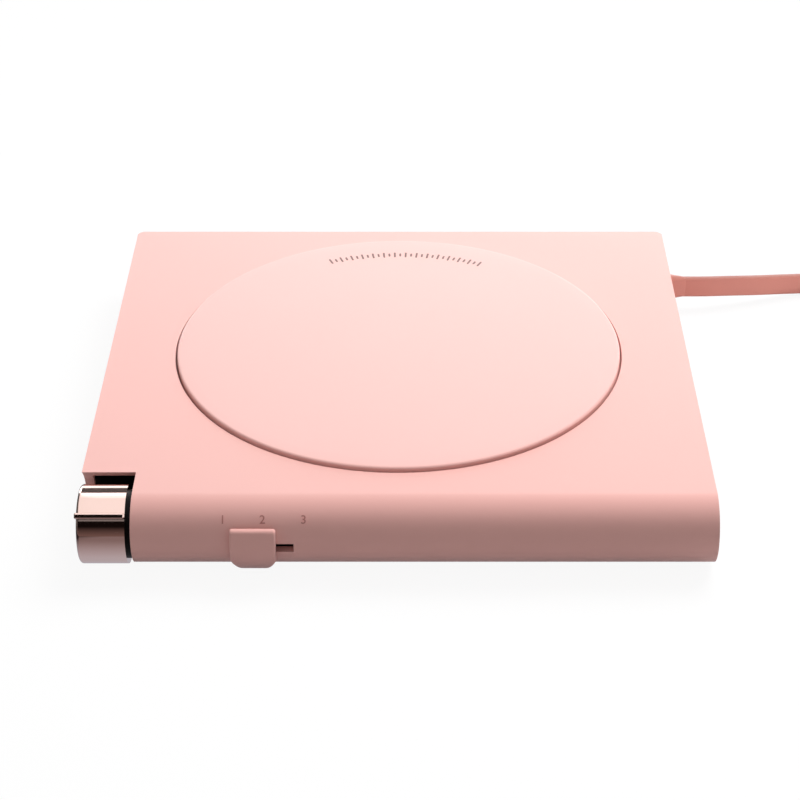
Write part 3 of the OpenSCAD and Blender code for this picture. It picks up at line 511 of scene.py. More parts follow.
def finish(name, look, heightOf=grainHeight):
    # one procedural material from a dictionary: colours, roughness, grain, edge wear with painted edge
    # highlight, and painted shade in gaps
    look = {**plainLook, **look}
    material = bpy.data.materials.new(name)
    material.use_nodes = True
    tree = material.node_tree
    shader = tree.nodes["Principled BSDF"]
    coords = addNode(tree, "ShaderNodeTexCoord").outputs
    place = along = coords["Object"]
    if "stretch" in look:
        mapping = {"Vector": coords[look["follows"]], "Scale": look["stretch"]}
        along = addNode(tree, "ShaderNodeMapping", mapping).outputs["Vector"]
    color = useGroup(tree, driftGroup, {
        "Vector": place, "Color": look["color"], "Other": look["other"],
        "Scale": look["driftScale"], "Amount": look["drift"],
    })
    # lighter edges: wear on the metal and black parts, a painted highlight on the pink shell and plate
    if "wornAndLitEdge" in look:
        mask = useGroup(tree, wearAndHighlightGroup, {"Vector": place, "Reach": look["reach"]})
        color = mixColor(tree, mask, color, look["wornAndLitEdge"])
    # painted shade, darker in narrow gaps between parts
    if "crevice" in look:
        color = useGroup(tree, creviceShadeGroup, {"Color": color, "Dark": look["crevice"]})
    tree.links.new(color, shader.inputs["Base Color"])
    rough = useGroup(tree, roughGroup, {
        "Vector": along, "Base": look["rough"], "Spread": look["spread"], "Scale": look["roughScale"],
    })
    tree.links.new(rough, shader.inputs["Roughness"])
    shader.inputs["Metallic"].default_value = look["metal"]
    shader.inputs["IOR"].default_value = look["ior"]
    if "sheen" in look:
        shader.inputs["Sheen Weight"].default_value = look["sheen"]
        shader.inputs["Sheen Roughness"].default_value = look["sheenRough"]
    height = heightOf(tree, look, place, along)
    relief = {"Height": height, "Strength": look["bump"], "Distance": look["depth"] * mm}
    bump = addNode(tree, "ShaderNodeBump", relief)
    tree.links.new(bump.outputs["Normal"], shader.inputs["Normal"])
    return material


looks = {
    # the shell's and the plate's lighter edge colours are a painted edge highlight
    "shell": {
        "color": srgb(249, 187, 179), "other": srgb(250, 193, 185), "rough": 0.50, "spread": 0.05,
        "sheen": 0.3, "grainScale": 5200.0, "bump": 0.12, "depth": 0.015,
        # crevice: painted shade in the shell's narrow gaps
        "wornAndLitEdge": srgb(252, 206, 200), "reach": 1.5, "crevice": 0.85,
    },
    "plate": {
        "color": srgb(250, 191, 184), "other": srgb(250, 197, 190), "rough": 0.46, "spread": 0.06,
        "sheen": 0.15, "grainScale": 7500.0, "bump": 0.10, "depth": 0.01,
        # crevice: painted shade in the gap round the plate
        "wornAndLitEdge": srgb(253, 214, 208), "reach": 1.5, "crevice": 0.5,
    },
    "cord": {
        "color": srgb(214, 140, 127), "other": srgb(220, 150, 138), "rough": 0.5,
        "grainScale": 4200.0, "bump": 0.2,
    },
    "black": {
        "color": srgb(10, 8, 8), "other": srgb(17, 15, 14), "rough": 0.5, "spread": 0.12, "ior": 1.25,
        "grainScale": 3800.0, "bump": 0.25, "wornAndLitEdge": srgb(44, 40, 39), "reach": 1.5,
    },
    "foot": {
        "color": srgb(28, 27, 27), "other": srgb(45, 43, 42), "rough": 0.8, "spread": 0.1,
        "grainScale": 2600.0, "bump": 0.4, "depth": 0.04,
    },
    "steel": {
        "color": srgb(176, 176, 180), "other": srgb(198, 198, 200), "rough": 0.32, "spread": 0.18,
        "metal": 1.0, "stretch": (1, 14, 14), "grainScale": 1500.0, "bump": 0.12,
        "wornAndLitEdge": srgb(225, 225, 226),
    },
    "nut": {
        "color": srgb(196, 160, 96), "other": srgb(214, 180, 112), "rough": 0.28, "spread": 0.15,
        "metal": 1.0, "bump": 0.1, "wornAndLitEdge": srgb(236, 208, 150),
    },
    # pink-brown in place of the silicone's own light grey: painted shade, so the gap round the plate looks
    # shaded
    "gasket": {
        "color": srgb(212, 164, 155), "other": srgb(220, 174, 166), "rough": 0.6, "bump": 0.3,
        "grainScale": 2400.0,
    },
    "film": {
        "color": srgb(176, 98, 36), "other": srgb(196, 118, 48), "rough": 0.25, "spread": 0.1,
        "driftScale": 120.0, "bump": 0.1,
    },
    "pad": {
        "color": srgb(226, 218, 200), "other": srgb(240, 234, 220), "rough": 0.95, "bump": 0.8,
        "depth": 0.2, "grainScale": 1100.0, "sheen": 0.3, "driftScale": 200.0,
    },
    "board": {
        "color": srgb(18, 82, 46), "other": srgb(34, 104, 60), "rough": 0.35, "driftScale": 160.0,
        "drift": 0.9,
    },
    "sensor": {
        "color": srgb(150, 52, 38), "other": srgb(176, 72, 52), "rough": 0.4, "bump": 0.2,
    },
    "white_wire": {
        "color": srgb(226, 226, 222), "other": srgb(236, 236, 233), "rough": 0.5, "bump": 0.2,
    },
    "red_black_wire": {
        "color": srgb(150, 20, 20), "other": srgb(172, 32, 30), "rough": 0.5, "bump": 0.2,
    },
    "capacitor": {
        "color": srgb(24, 32, 78), "other": srgb(38, 48, 100), "rough": 0.3, "bump": 0.1,
        "wornAndLitEdge": srgb(170, 172, 178),
    },
    "tongue": {
        "color": srgb(232, 232, 230), "other": srgb(242, 242, 240), "rough": 0.35,
    },
    "gold": {
        "color": srgb(224, 186, 96), "other": srgb(236, 202, 120), "rough": 0.22, "metal": 1.0,
        "bump": 0.05,
    },
    "marking_ink": {
        "color": srgb(130, 96, 90), "other": srgb(144, 108, 102), "rough": 0.6, "bump": 0.1,
        "driftScale": 300.0,
    },
    "number_ink": {
        "color": srgb(196, 124, 118), "other": srgb(206, 136, 130), "rough": 0.6, "bump": 0.1,
        "driftScale": 300.0,
    },
}
# clear rose-tinted mirror
chromeLook = {
    "color": srgb(252, 221, 211), "other": srgb(244, 209, 198), "driftScale": 90.0, "drift": 0.35,
    "wornAndLitEdge": srgb(255, 236, 226), "reach": 1.5, "rough": 0.07, "spread": 0.05, "roughScale": 260.0,
    "metal": 1.0, "ior": 1.5, "stretch": (22, 1, 1), "lineScale": 700.0, "bump": 0.03, "depth": 0.005,
}
# satin jacket, whose pattern follows the cord
jacketLook = {
    **looks["cord"], "driftScale": 55.0, "drift": 0.7, "spread": 0.12, "roughScale": 3.0, "ior": 1.3,
    "follows": "UV", "stretch": (12, 60, 1), "lineScale": 2.5, "linePart": 0.8, "cells": 0.4,
    "depth": 0.03,
}
finishes = {name: finish(name, look) for name, look in looks.items()}
finishes["chrome"] = finish("chrome", chromeLook, polishHeight)
finishes["cord_jacket"] = finish("cord_jacket", jacketLook, jacketHeight)
print("materials made:", len(finishes))

for part in frame["record"]["subparts"]:
    node = cadNodes[part["node"]]
    node.data.materials.clear()
    node.data.materials.append(finishes[part["material_slot"]])


housingSetup = {
    "shellEdge": 0.35 * mm,
    "shellSegments": 3,
    "coverEdge": 0.2 * mm,
    "coverSegments": 2,
}

shellLow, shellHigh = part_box("top_shell")
noseRadius = (shellHigh.z - shellLow.z) / 2
noseY = shellLow.y + noseRadius
noseZ = shellLow.z + noseRadius

topShell = softened("top_shell", "shell_top", housingSetup["shellEdge"], housingSetup["shellSegments"])
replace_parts(paint(topShell, finishes["shell"]), "top_shell")

baseCover = softened("base_cover", "cover_base", housingSetup["coverEdge"], housingSetup["coverSegments"])
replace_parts(paint(baseCover, finishes["shell"]), "base_cover")
print("housing made")


plateSetup = {
    "flange": 2.4 * mm,
    "flangeThick": 0.8 * mm,
    "faceThick": 1.4 * mm,
    "rimWide": 0.6 * mm,
    "rimDrop": 0.45 * mm,
    "rimSteps": 10,
    "faceRings": (0.93, 0.6, 0.3, 0),
    "segments": 192,
}


def makePlate(setup):
    low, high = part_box("heating_plate")
    centre = (low + high) / 2
    flange = (high.x - low.x) / 2
    radius = flange - setup["flange"]
    top, bottom = high.z, low.z
    under = top - setup["faceThick"]
    inner = radius - setup["faceThick"]
    step = bottom + setup["flangeThick"]
    profile = [
        (0, under), (inner, under), (inner, bottom), (flange, bottom), (flange, step), (radius, step),
    ]
    for out, up in arcPoints((0, 0), 1, 0, 90, setup["rimSteps"]):
        profile.append((radius - setup["rimWide"] * (1 - out), top - setup["rimDrop"] * (1 - up)))
    profile += [(radius * share, top) for share in setup["faceRings"]]
    mesh = lathe("plate_heating", profile, setup["segments"], centre=(centre.x, centre.y, 0))
    return newObject("plate_heating", mesh), centre, top


plate, plateCentre, plateTop = makePlate(plateSetup)
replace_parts(paint(plate, finishes["plate"]), "heating_plate")
print("plate made")


knobSetup = {
    "wall": 1.0 * mm,
    "faceRing": 0.5,          # share of the radius
    "frontSoft": 0.65 * mm,
    "frontSteps": 8,
    "ribHeight": 0.4 * mm,
    "ribWidth": 1.1 * mm,
    "ribAngle": 46.5,         # above level, towards the front
    "ribSoft": 0.22 * mm,
    "ribSteps": 5,
    "ribSunk": 0.4 * mm,      # into the barrel
    "ribTip": (0.15 * mm, 0.12 * mm),    # length and drop of its tapered left end
    "ribHeel": (0.3 * mm, 0.25 * mm),
    "barrelInset": 0.25 * mm,
    "sharp": 30,
    "segments": 128,
}


def makeRib(setup, low, high, radius):
    half = setup["ribWidth"] / 2
    root = radius - setup["ribSunk"]
    crown = radius + setup["ribHeight"]
    curve, steps = setup["ribSoft"], setup["ribSteps"]
    outline = [(-half, root)]
    outline += arcPoints((-half + curve, crown - curve), curve, 180, 90, steps)
    outline += arcPoints((half - curve, crown - curve), curve, 90, 0, steps)
    outline.append((half, root))
    angle = math.radians(setup["ribAngle"])
    out = Vector((0, -math.cos(angle), math.sin(angle)))
    side = Vector((0, math.sin(angle), math.cos(angle)))
    tip, tipDrop = setup["ribTip"]
    heel, heelDrop = setup["ribHeel"]
    verts = []
    for x, drop in ((low, tipDrop), (low + tip, 0), (high - heel, 0), (high, heelDrop)):
        for u, v in outline:
            verts.append(Vector((x, noseY, noseZ)) + side * u * (1 - drop / half) + out * (v - drop))
    return newObject("rib", outward(meshFrom("rib", verts, skin(4, len(outline)))))


def makeBarrel(setup):
    low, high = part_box("knob_barrel")
    radius = (high.z - low.z) / 2
    start = low.x + setup["barrelInset"]
    length = high.x - start
    wall, soft = setup["wall"], setup["frontSoft"]
    profile = [(0, 0), (radius * setup["faceRing"], 0)]
    profile += arcPoints((radius - soft, soft), soft, -90, 0, setup["frontSteps"])
    profile += [(radius, length), (radius - wall, length), (radius - wall, wall), (0, wall)]
    mesh = lathe("barrel_knob", profile, setup["segments"], axis="X", centre=(start, noseY, noseZ))
    barrel = newObject("barrel_knob", mesh)
    rib = makeRib(setup, low.x, high.x, radius)
    union = barrel.modifiers.new("rib", "BOOLEAN")
    union.operation = "UNION"
    union.object = rib
    union.solver = "EXACT"
    bake(barrel)
    barrel.data.shade_smooth()
    barrel.data.set_sharp_from_angle(angle=math.radians(setup["sharp"]))
    bpy.data.objects.remove(rib)
    return barrel


barrel = makeBarrel(knobSetup)
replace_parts(paint(barrel, finishes["chrome"], "power_knob"), "knob_barrel")
print("knob made")


sliderSetup = {
    "gap": 0.25 * mm,         # between the pad and the round front edge
    "topSoft": 0.8 * mm,
    "topSteps": 10,
    "lowSoft": 0.5 * mm,
    "lowSteps": 6,
    "faceSteps": 24,
    "sideSoft": 0.5 * mm,
    "sideAngles": (0, 15, 30, 45, 60, 75, 90),
    "faceColumns": (-0.6, -0.2, 0.2, 0.6),
    "cornerWide": 1.9 * mm,
    "cornerHigh": 4.1 * mm,
    "cornerPower": 1.25,
    "lip": 0.12 * mm,         # the pad's edges end this far outside its inner face
    "sharp": 40,
    "stemWide": 3.0 * mm,
    "stemHigh": 1.5 * mm,
    "stemDrop": 0.5 * mm,
    "stemSunk": 0.3 * mm,     # starts this far into the pad
    "stemEnd": 4.6 * mm,      # in front of the axis of the front edge
    "pocketWide": 2.0 * mm,   # pocket in the stem's end, for the switch lever
    "pocketHigh": 0.8 * mm,
    "pocketEnd": 6.3 * mm,    # in front of that axis too
}


def turnedArc(out, up, radius, start, end, steps):
    # points of a profile on an arc, each with the angle that its surface faces
    angles = [start + (end - start) * i / steps for i in range(steps + 1)]
    turns = [(angle, math.radians(angle)) for angle in angles]
    return [(out + radius * math.cos(a), up + radius * math.sin(a), angle) for angle, a in turns]


def padProfile(setup, low, high, outer, inner):
    # side view of the pad's skin, from under the body to its top face, each (out, up, normal angle)
    end = inner + setup["lip"]
    lowSoft, topSoft = setup["lowSoft"], setup["topSoft"]
    lowUp, topUp = low + lowSoft, high - topSoft
    first = math.degrees(math.asin(lowUp / (outer - lowSoft)))
    last = math.degrees(math.asin(topUp / (outer - topSoft)))
    lowOut = (outer - lowSoft) * math.cos(math.radians(first))
    topOut = (outer - topSoft) * math.cos(math.radians(last))
    points = [(math.sqrt(end ** 2 - low ** 2), low, -90)]
    points += turnedArc(lowOut, lowUp, lowSoft, -90, first, setup["lowSteps"])
    points += turnedArc(0, 0, outer, first, last, setup["faceSteps"])[1:-1]
    points += turnedArc(topOut, topUp, topSoft, last, 90, setup["topSteps"])
    points.append((math.sqrt(end ** 2 - high ** 2), high, 90))
    return points


def stemVerts(setup, centre, inner):
    # the stem's corners: its front, its back, and the mouth and the blind end of its pocket
    axis = noseZ - setup["stemDrop"]
    front, back = noseY - inner - setup["stemSunk"], noseY - setup["stemEnd"]
    blind = noseY - setup["pocketEnd"]
    stem = (setup["stemWide"] / 2, setup["stemHigh"] / 2)
    pocket = (setup["pocketWide"] / 2, setup["pocketHigh"] / 2)
    verts = []
    for (wide, tall), y in ((stem, front), (stem, back), (pocket, back), (pocket, blind)):
        for x, z in ((-1, -1), (1, -1), (1, 1), (-1, 1)):
            verts.append((centre + x * wide, y, axis + z * tall))
    return verts


def makeSlider(setup):
    low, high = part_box("slider_knob")
    centre = (low.x + high.x) / 2
    half = (high.x - low.x) / 2
    outer = noseY - low.y
    inner = noseRadius + setup["gap"]
    bottom, top = low.z - noseZ, high.z - noseZ
    soft = setup["sideSoft"]
    angles = [math.radians(a) for a in setup["sideAngles"]]
    sides = [(math.sin(a), 1 - math.cos(a)) for a in angles]
    profile = padProfile(setup, bottom, top, outer, inner)
    verts = []
    for out, up, angle in profile:
        share = max(0.0, 1 - (up - bottom) / setup["cornerHigh"])
        wide = half - setup["cornerWide"] * share ** setup["cornerPower"]
        columns = [(-wide + soft - soft * x, drop) for x, drop in reversed(sides)]
        columns += [(x * (wide - soft), 0.0) for x in setup["faceColumns"]]
        columns += [(wide - soft + soft * x, drop) for x, drop in sides]
        for x, drop in columns:
            y = out - soft * drop * math.cos(math.radians(angle))
            z = up - soft * drop * math.sin(math.radians(angle))
            push = max(1.0, (inner + setup["lip"]) / math.hypot(y, z))
            verts.append((centre + x, noseY - y * push, noseZ + z * push))
        turn = math.atan2(z, y)
        for x in (wide, -wide):
            verts.append((centre + x, noseY - inner * math.cos(turn), noseZ + inner * math.sin(turn)))
    faces = skin(len(profile), len(verts) // len(profile))
    # stem through the slot, open at the back for the switch lever
    base = len(verts)
    verts += stemVerts(setup, centre, inner)
    faces += [tuple(base + v for v in face) for face in skin(4, 4)]
    mesh = outward(meshFrom("knob_slider", verts, faces))
    mesh.set_sharp_from_angle(angle=math.radians(setup["sharp"]))
    return newObject("knob_slider", mesh)


slider = makeSlider(sliderSetup)
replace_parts(paint(slider, finishes["shell"], "heat_slider"), "slider_knob")
print("slider made")


grommetSetup = {
    "wall": 1.8 * mm,         # of the shell
    "hole": 1.5 * mm,         # the hole in the shell is this much larger than the cord
    "neckCorner": 1.7 * mm,
    "flangeThick": 1.6 * mm,
    "flangeRoom": 0.5 * mm,   # past the hole
    "flangeCorner": 0.6 * mm,
    "room": 0.8 * mm,         # round the cord at the root of the nose
    "tipRoom": 0.06 * mm,
    "noseCorner": 0.95 * mm,
    "noseFlare": 0.4 * mm,
    "noseSteps": 8,
    "tipLong": 0.1 * mm,
    "tipShare": 0.45,
    "tipCorner": 0.8 * mm,
    "boreRoom": 0.02 * mm,
    "boreCorner": 0.62 * mm,
    "cornerSteps": 6,
}


def makeGrommet(setup):
    low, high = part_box("cord_grommet")
    side, tip = shellHigh.x, high.x
    cy = (low.y + high.y) / 2
    cz = cordSetup["lead"][0][2] * mm
    width, thick = cordSetup["width"], cordSetup["thick"]

    def ring(x, room, corner):
        outline = roundedSlot(width + 2 * room, thick + 2 * room, corner, setup["cornerSteps"])
        return [Vector((x, cy + u, cz + v)) for u, v in outline]

    hole = setup["hole"] / 2
    flange = hole + setup["flangeRoom"]
    wall = side - setup["wall"]
    root = wall - setup["flangeThick"]
    rings = [
        ring(root, flange, setup["flangeCorner"]),
        ring(wall, flange, setup["flangeCorner"]),
        ring(wall, hole, setup["neckCorner"]),
        ring(side, hole, setup["neckCorner"]),
    ]
    for i in range(setup["noseSteps"] + 1):
        t = i / setup["noseSteps"]
        room = setup["tipRoom"] + (setup["room"] - setup["tipRoom"]) * (1 - t)
        corner = setup["noseCorner"] + setup["noseFlare"] * (1 - t)
        rings.append(ring(side + (tip - side - setup["tipLong"]) * t, room, corner))
    rings += [
        ring(tip, setup["tipRoom"] * setup["tipShare"], setup["tipCorner"]),
        ring(tip, setup["boreRoom"], setup["boreCorner"]),
        ring(root, setup["boreRoom"], setup["boreCorner"]),
    ]
    verts = [point for points in rings for point in points]
    faces = skin(len(rings), len(rings[0]), closed=True)
    return newObject("grommet_cord", outward(meshFrom("grommet_cord", verts, faces)))


grommet = makeGrommet(grommetSetup)
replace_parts(paint(grommet, finishes["cord"]), "cord_grommet")
print("grommet made")


plugSetup = {
    "back": [v * mm for v in cordSetup["tail"][-1]],
    "heading": 80,
    "width": 15.4 * mm,
    "thick": 7.6 * mm,
    "length": 20 * mm,
    "corner": 1.9 * mm,
    "cornerSteps": 6,
    "stations": [             # each a share of the length, of the width and of the thickness
        (0.0, 0.80, 0.66), (0.02, 0.88, 0.78), (0.06, 0.94, 0.88), (0.14, 0.97, 0.93),
        (0.3, 0.985, 0.955), (0.55, 0.99, 0.975), (0.85, 1.0, 1.0), (0.96, 1.0, 1.0),
        (0.985, 0.985, 0.97), (1.0, 0.955, 0.91),
    ],
    "shellEdge": 0.06 * mm,
    "shellSegments": 2,
    "ribs": 7,
    "ribPitch": 1.6 * mm,
    "ribStart": 4.2 * mm,
    "ribWide": 9.2 * mm,
    "ribRise": 0.16 * mm,
    "ribSunk": 0.02 * mm,
    "ribLevel": 0.485,        # share of the thickness, from the middle
    "ribAcross": [(-1, 0.0), (-0.93, 0.7), (-0.8, 1.0), (0.8, 1.0), (0.93, 0.7), (1, 0.0)],
    "ribBow": [(-0.42 * mm, 0.0), (-0.25 * mm, 0.8), (0, 1.0), (0.25 * mm, 0.8), (0.42 * mm, 0.0)],
}


def plugPlace(setup):
    # from the plug's own axes, length along X and thickness along Z, to the row frame
    turn = Matrix.Rotation(math.radians(setup["heading"]), 4, "Z")
    return Matrix.Translation(setup["back"]) @ turn


def makePlugGrip(setup):
    place = plugPlace(setup)
    verts = []
    for share, wide, tall in setup["stations"]:
        corner = setup["corner"] * tall
        outline = roundedSlot(setup["thick"] * tall, setup["width"] * wide, corner, setup["cornerSteps"])
        verts += [place @ Vector((share * setup["length"], u, v)) for u, v in outline]
    rows = len(setup["stations"])
    mesh = outward(meshFrom("grip_plug", verts, skin(rows, len(verts) // rows)))
    return newObject("grip_plug", mesh)


plugGrip = makePlugGrip(plugSetup)
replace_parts(paint(plugGrip, finishes["cord"]), "plug_body")
plugShell = softened("plug_shell", "shell_plug", plugSetup["shellEdge"], plugSetup["shellSegments"])
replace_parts(paint(plugShell, finishes["steel"]), "plug_shell")
print("plug made")


def newMaker(name, inputs):
    # an empty Geometry Nodes tree that takes a mesh and a material besides its own inputs
    inputs = [("Geometry", "Geometry", None), *inputs, ("Material", "Material", None)]
    return newTree(name, "GeometryNodeTree", inputs, ("Geometry", "Geometry"))


def closeMaker(tree, given, result, points, **more):
    # copies of the given mesh on the points, made real and given their material
    inputs = {"Points": points, "Instance": given["Geometry"], **more}
    copies = addNode(tree, "GeometryNodeInstanceOnPoints", inputs).outputs["Instances"]
    real = addNode(tree, "GeometryNodeRealizeInstances", {"Geometry": copies}).outputs["Geometry"]
    cover = addNode(tree, "GeometryNodeSetMaterial", {"Geometry": real, "Material": given["Material"]})
    tree.links.new(cover.outputs["Geometry"], result)
    return tree


def runMaker(name, tree, mesh, values):
    piece = newObject(name, mesh)
    maker = piece.modifiers.new("maker", "NODES")
    maker.node_group = tree
    for item in tree.interface.items_tree:
        if item.item_type == "SOCKET" and item.in_out == "INPUT" and item.name in values:
            maker[item.identifier] = values[item.name]
    return bake(piece)


def buildGridMaker():
    # copies at the corners of a rectangle
    tree, given, result = newMaker("cornerPads", [
        ("Run X", "Float", 0.1), ("Run Y", "Float", 0.1), ("Middle", "Vector", None),
    ])
    grid = addNode(tree, "GeometryNodeMeshGrid", {
        "Vertices X": 2, "Vertices Y": 2, "Size X": given["Run X"], "Size Y": given["Run Y"],
    }).outputs["Mesh"]
    shift = addNode(tree, "GeometryNodeTransform", {"Geometry": grid, "Translation": given["Middle"]})
    return closeMaker(tree, given, result, shift.outputs["Geometry"])


def buildArcMaker():
    # copies on an arc, every one turned to face the centre, and every other one shorter
    tree, given, result = newMaker("arcMarks", [
        ("Count", "Int", 5), ("Radius", "Float", 0.04), ("Start", "Float", 0.0), ("Sweep", "Float", 1.0),
        ("Middle", "Vector", None), ("Short", "Float", 0.5),
    ])
    line = addNode(tree, "GeometryNodeMeshLine", {"Count": given["Count"]}).outputs["Mesh"]
    index = addNode(tree, "GeometryNodeInputIndex").outputs["Index"]
    share = calc(tree, "DIVIDE", index, calc(tree, "SUBTRACT", given["Count"], 1))
    angle = calc(tree, "MULTIPLY_ADD", share, given["Sweep"], given["Start"])
    along = calc(tree, "MULTIPLY", calc(tree, "COSINE", angle), given["Radius"])
    up = calc(tree, "MULTIPLY", calc(tree, "SINE", angle), given["Radius"])
    place = addNode(tree, "ShaderNodeCombineXYZ", {"X": along, "Y": up}).outputs["Vector"]
    place = addNode(tree, "ShaderNodeVectorMath", {0: place, 1: given["Middle"]}).outputs["Vector"]
    points = addNode(tree, "GeometryNodeSetPosition", {"Geometry": line, "Position": place})
    turn = addNode(tree, "ShaderNodeCombineXYZ", {"Z": angle}).outputs["Vector"]
    rotation = addNode(tree, "FunctionNodeEulerToRotation", {"Euler": turn}).outputs["Rotation"]
    odd = calc(tree, "MODULO", index, 2)
    less = calc(tree, "SUBTRACT", given["Short"], 1)
    long = calc(tree, "MULTIPLY_ADD", odd, less, 1)
    size = addNode(tree, "ShaderNodeCombineXYZ", {"X": long, "Y": 1, "Z": 1}).outputs["Vector"]
    return closeMaker(tree, given, result, points.outputs["Geometry"], Rotation=rotation, Scale=size)


def buildRowMaker():
    # copies in a straight row
    tree, given, result = newMaker("rowOfRibs", [
        ("Count", "Int", 5), ("Start", "Vector", None), ("Step", "Vector", None),
    ])
    line = addNode(tree, "GeometryNodeMeshLine", {
        "Count": given["Count"], "Start Location": given["Start"], "Offset": given["Step"],
    }).outputs["Mesh"]
    return closeMaker(tree, given, result, line)


footSetup = {
    "grooves": 3,
    "grooveDeep": 0.12 * mm,
    "grooveFloor": 0.18 * mm,     # half widths of a groove
    "grooveMouth": 0.35 * mm,
    "edge": 0.3 * mm,
    "edgeSteps": 5,
    "segments": 64,
}


def makeFeet(setup):
    low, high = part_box("foot_front_left")
    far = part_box("foot_back_right")[1]
    radius = (high.x - low.x) / 2
    height = high.z - low.z
    edge, deep = setup["edge"], setup["grooveDeep"]
    floor, mouth = setup["grooveFloor"], setup["grooveMouth"]
    band = (radius - edge) / (setup["grooves"] + 1)
    profile = [(0, 0)]
    for i in range(1, setup["grooves"] + 1):
        r = i * band
        profile += [(r - mouth, 0), (r - floor, deep), (r + floor, deep), (r + mouth, 0)]
    profile += arcPoints((radius - edge, edge), edge, -90, 0, setup["edgeSteps"])
    profile += [(radius, height), (0, height)]
    return runMaker("rubber_feet", buildGridMaker(), lathe("foot", profile, setup["segments"]), {
        "Run X": far.x - low.x - 2 * radius, "Run Y": far.y - low.y - 2 * radius,
        "Middle": ((low.x + far.x) / 2, (low.y + far.y) / 2, 0), "Material": finishes["foot"],
    })


feet = makeFeet(footSetup)
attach(feet, "housing")
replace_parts(feet, "foot_front_left", "foot_front_right", "foot_back_left", "foot_back_right")

rowMaker = buildRowMaker()


def makeGripRibs(setup, name, side):
    # low rounded ribs across one of the grip's flat faces, for the fingers
    place = plugPlace(setup)
    turn = place.to_3x3()
    across, bow = setup["ribAcross"], setup["ribBow"]
    verts = []
    for y, full in across:
        for x, lift in bow:
            z = side * (setup["ribRise"] * full * lift - setup["ribSunk"])
            verts.append(turn @ Vector((x, y * setup["ribWide"] / 2, z)))
    rows, columns = len(across), len(bow)
    corners = [i * columns + k for i in range(rows - 1) for k in range(columns - 1)]
    faces = [(a, a + 1, a + columns + 1, a + columns) for a in corners]
    rim = [i * columns for i in range(rows)]
    rim += [(rows - 1) * columns + k for k in range(1, columns)]
    rim += [i * columns + columns - 1 for i in range(rows - 2, -1, -1)]
    rim += list(range(columns - 2, 0, -1))
    faces.append(tuple(reversed(rim)))
    start = place @ Vector((setup["ribStart"], 0, setup["ribLevel"] * setup["thick"] * side))
    step = turn @ Vector((setup["ribPitch"], 0, 0))
    ribs = runMaker(name, rowMaker, outward(meshFrom("rib", verts, faces)), {
        "Count": setup["ribs"], "Start": tuple(start), "Step": tuple(step), "Material": finishes["cord"],
    })
    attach(ribs, "housing")
    return ribs


gripRibs = [makeGripRibs(plugSetup, "grip_ribs_top", 1), makeGripRibs(plugSetup, "grip_ribs_under", -1)]

markSetup = {
    "radius": 39 * mm,
    "from": 113,              # degrees, counted from the right
    "sweep": -50,
    "count": 29,
    "long": 2.2 * mm,
    "short": 0.6,             # share of a long mark
    "wide": 0.42 * mm,
    "thick": 0.02 * mm,
    "roundEnd": 0.98,         # share of a half circle's radius
    "endSteps": 4,
}


def makeMarks(setup):
    # low bars with round ends, each with its length along X before it is placed
    corner = setup["wide"] / 2 * setup["roundEnd"]
    outline = roundedSlot(setup["wide"], setup["long"], corner, setup["endSteps"])
    verts = [(u, v, level) for level in (0.0, setup["thick"]) for u, v in outline]
    mesh = outward(meshFrom("mark", verts, skin(2, len(outline)), smooth=False))
    return runMaker("plate_marks", buildArcMaker(), mesh, {
        "Count": setup["count"], "Radius": setup["radius"],
        "Start": math.radians(setup["from"]), "Sweep": math.radians(setup["sweep"]),
        "Middle": (plateCentre.x, plateCentre.y, plateTop), "Short": setup["short"],
        "Material": finishes["marking_ink"],
    })


plateMarks = makeMarks(markSetup)
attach(plateMarks, "housing")
print("repeated pieces made")


numberSetup = {
    "places": (-32.44 * mm, -25.05 * mm, -17.39 * mm),
    "height": 1.6 * mm,
    "heightShare": 0.7,       # of the font's size, that a digit is high
    "thick": 0.01 * mm,
    "bold": 0.02 * mm,
    "curveSteps": 6,
    "bands": 6,
    "middleAngle": 41,        # above level on the round front edge
    "lift": 0.015 * mm,
}


def makeNumber(digit, x, setup):
    text = bpy.data.curves.new("number", "FONT")
    text.body = digit
    text.align_x = "CENTER"
    text.align_y = "CENTER"
    text.size = setup["height"] / setup["heightShare"]
    text.extrude = setup["thick"]
    text.offset = setup["bold"]
    text.resolution_u = setup["curveSteps"]
    source = newObject("number", text)
    graph = bpy.context.evaluated_depsgraph_get()
    mesh = bpy.data.meshes.new_from_object(source.evaluated_get(graph))
    bpy.data.objects.remove(source)
    # cut into narrow bands first, so that the long strokes bend with the surface
    bm = bmesh.new()
    bm.from_mesh(mesh)
    bands = setup["bands"]
    for i in range(1 - bands, bands):
        level = setup["height"] / 2 * i / bands
        parts = [*bm.verts, *bm.edges, *bm.faces]
        bmesh.ops.bisect_plane(bm, geom=parts, plane_co=(0, level, 0), plane_no=(0, 1, 0))
    bm.to_mesh(mesh)
    bm.free()
    for v in mesh.vertices:
        angle = math.radians(setup["middleAngle"]) + v.co.y / noseRadius
        radius = noseRadius + setup["lift"] + v.co.z
        v.co = (x + v.co.x, noseY - radius * math.cos(angle), noseZ + radius * math.sin(angle))
    return mesh


def makeNumbers(setup):
    joined = bmesh.new()
    for digit, x in zip("123", setup["places"]):
        mesh = makeNumber(digit, x, setup)
        joined.from_mesh(mesh)
        bpy.data.meshes.remove(mesh)
    mesh = bpy.data.meshes.new("heat_numbers")
    joined.to_mesh(mesh)
    joined.free()
    return newObject("heat_numbers", mesh)


numbers = makeNumbers(numberSetup)
paint(numbers, finishes["number_ink"])
print("numbers made")


paint(flatCord, finishes["cord_jacket"])
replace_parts(flatCord, "cord_lead", "cord_coil", "cord_loop", "cord_tail")


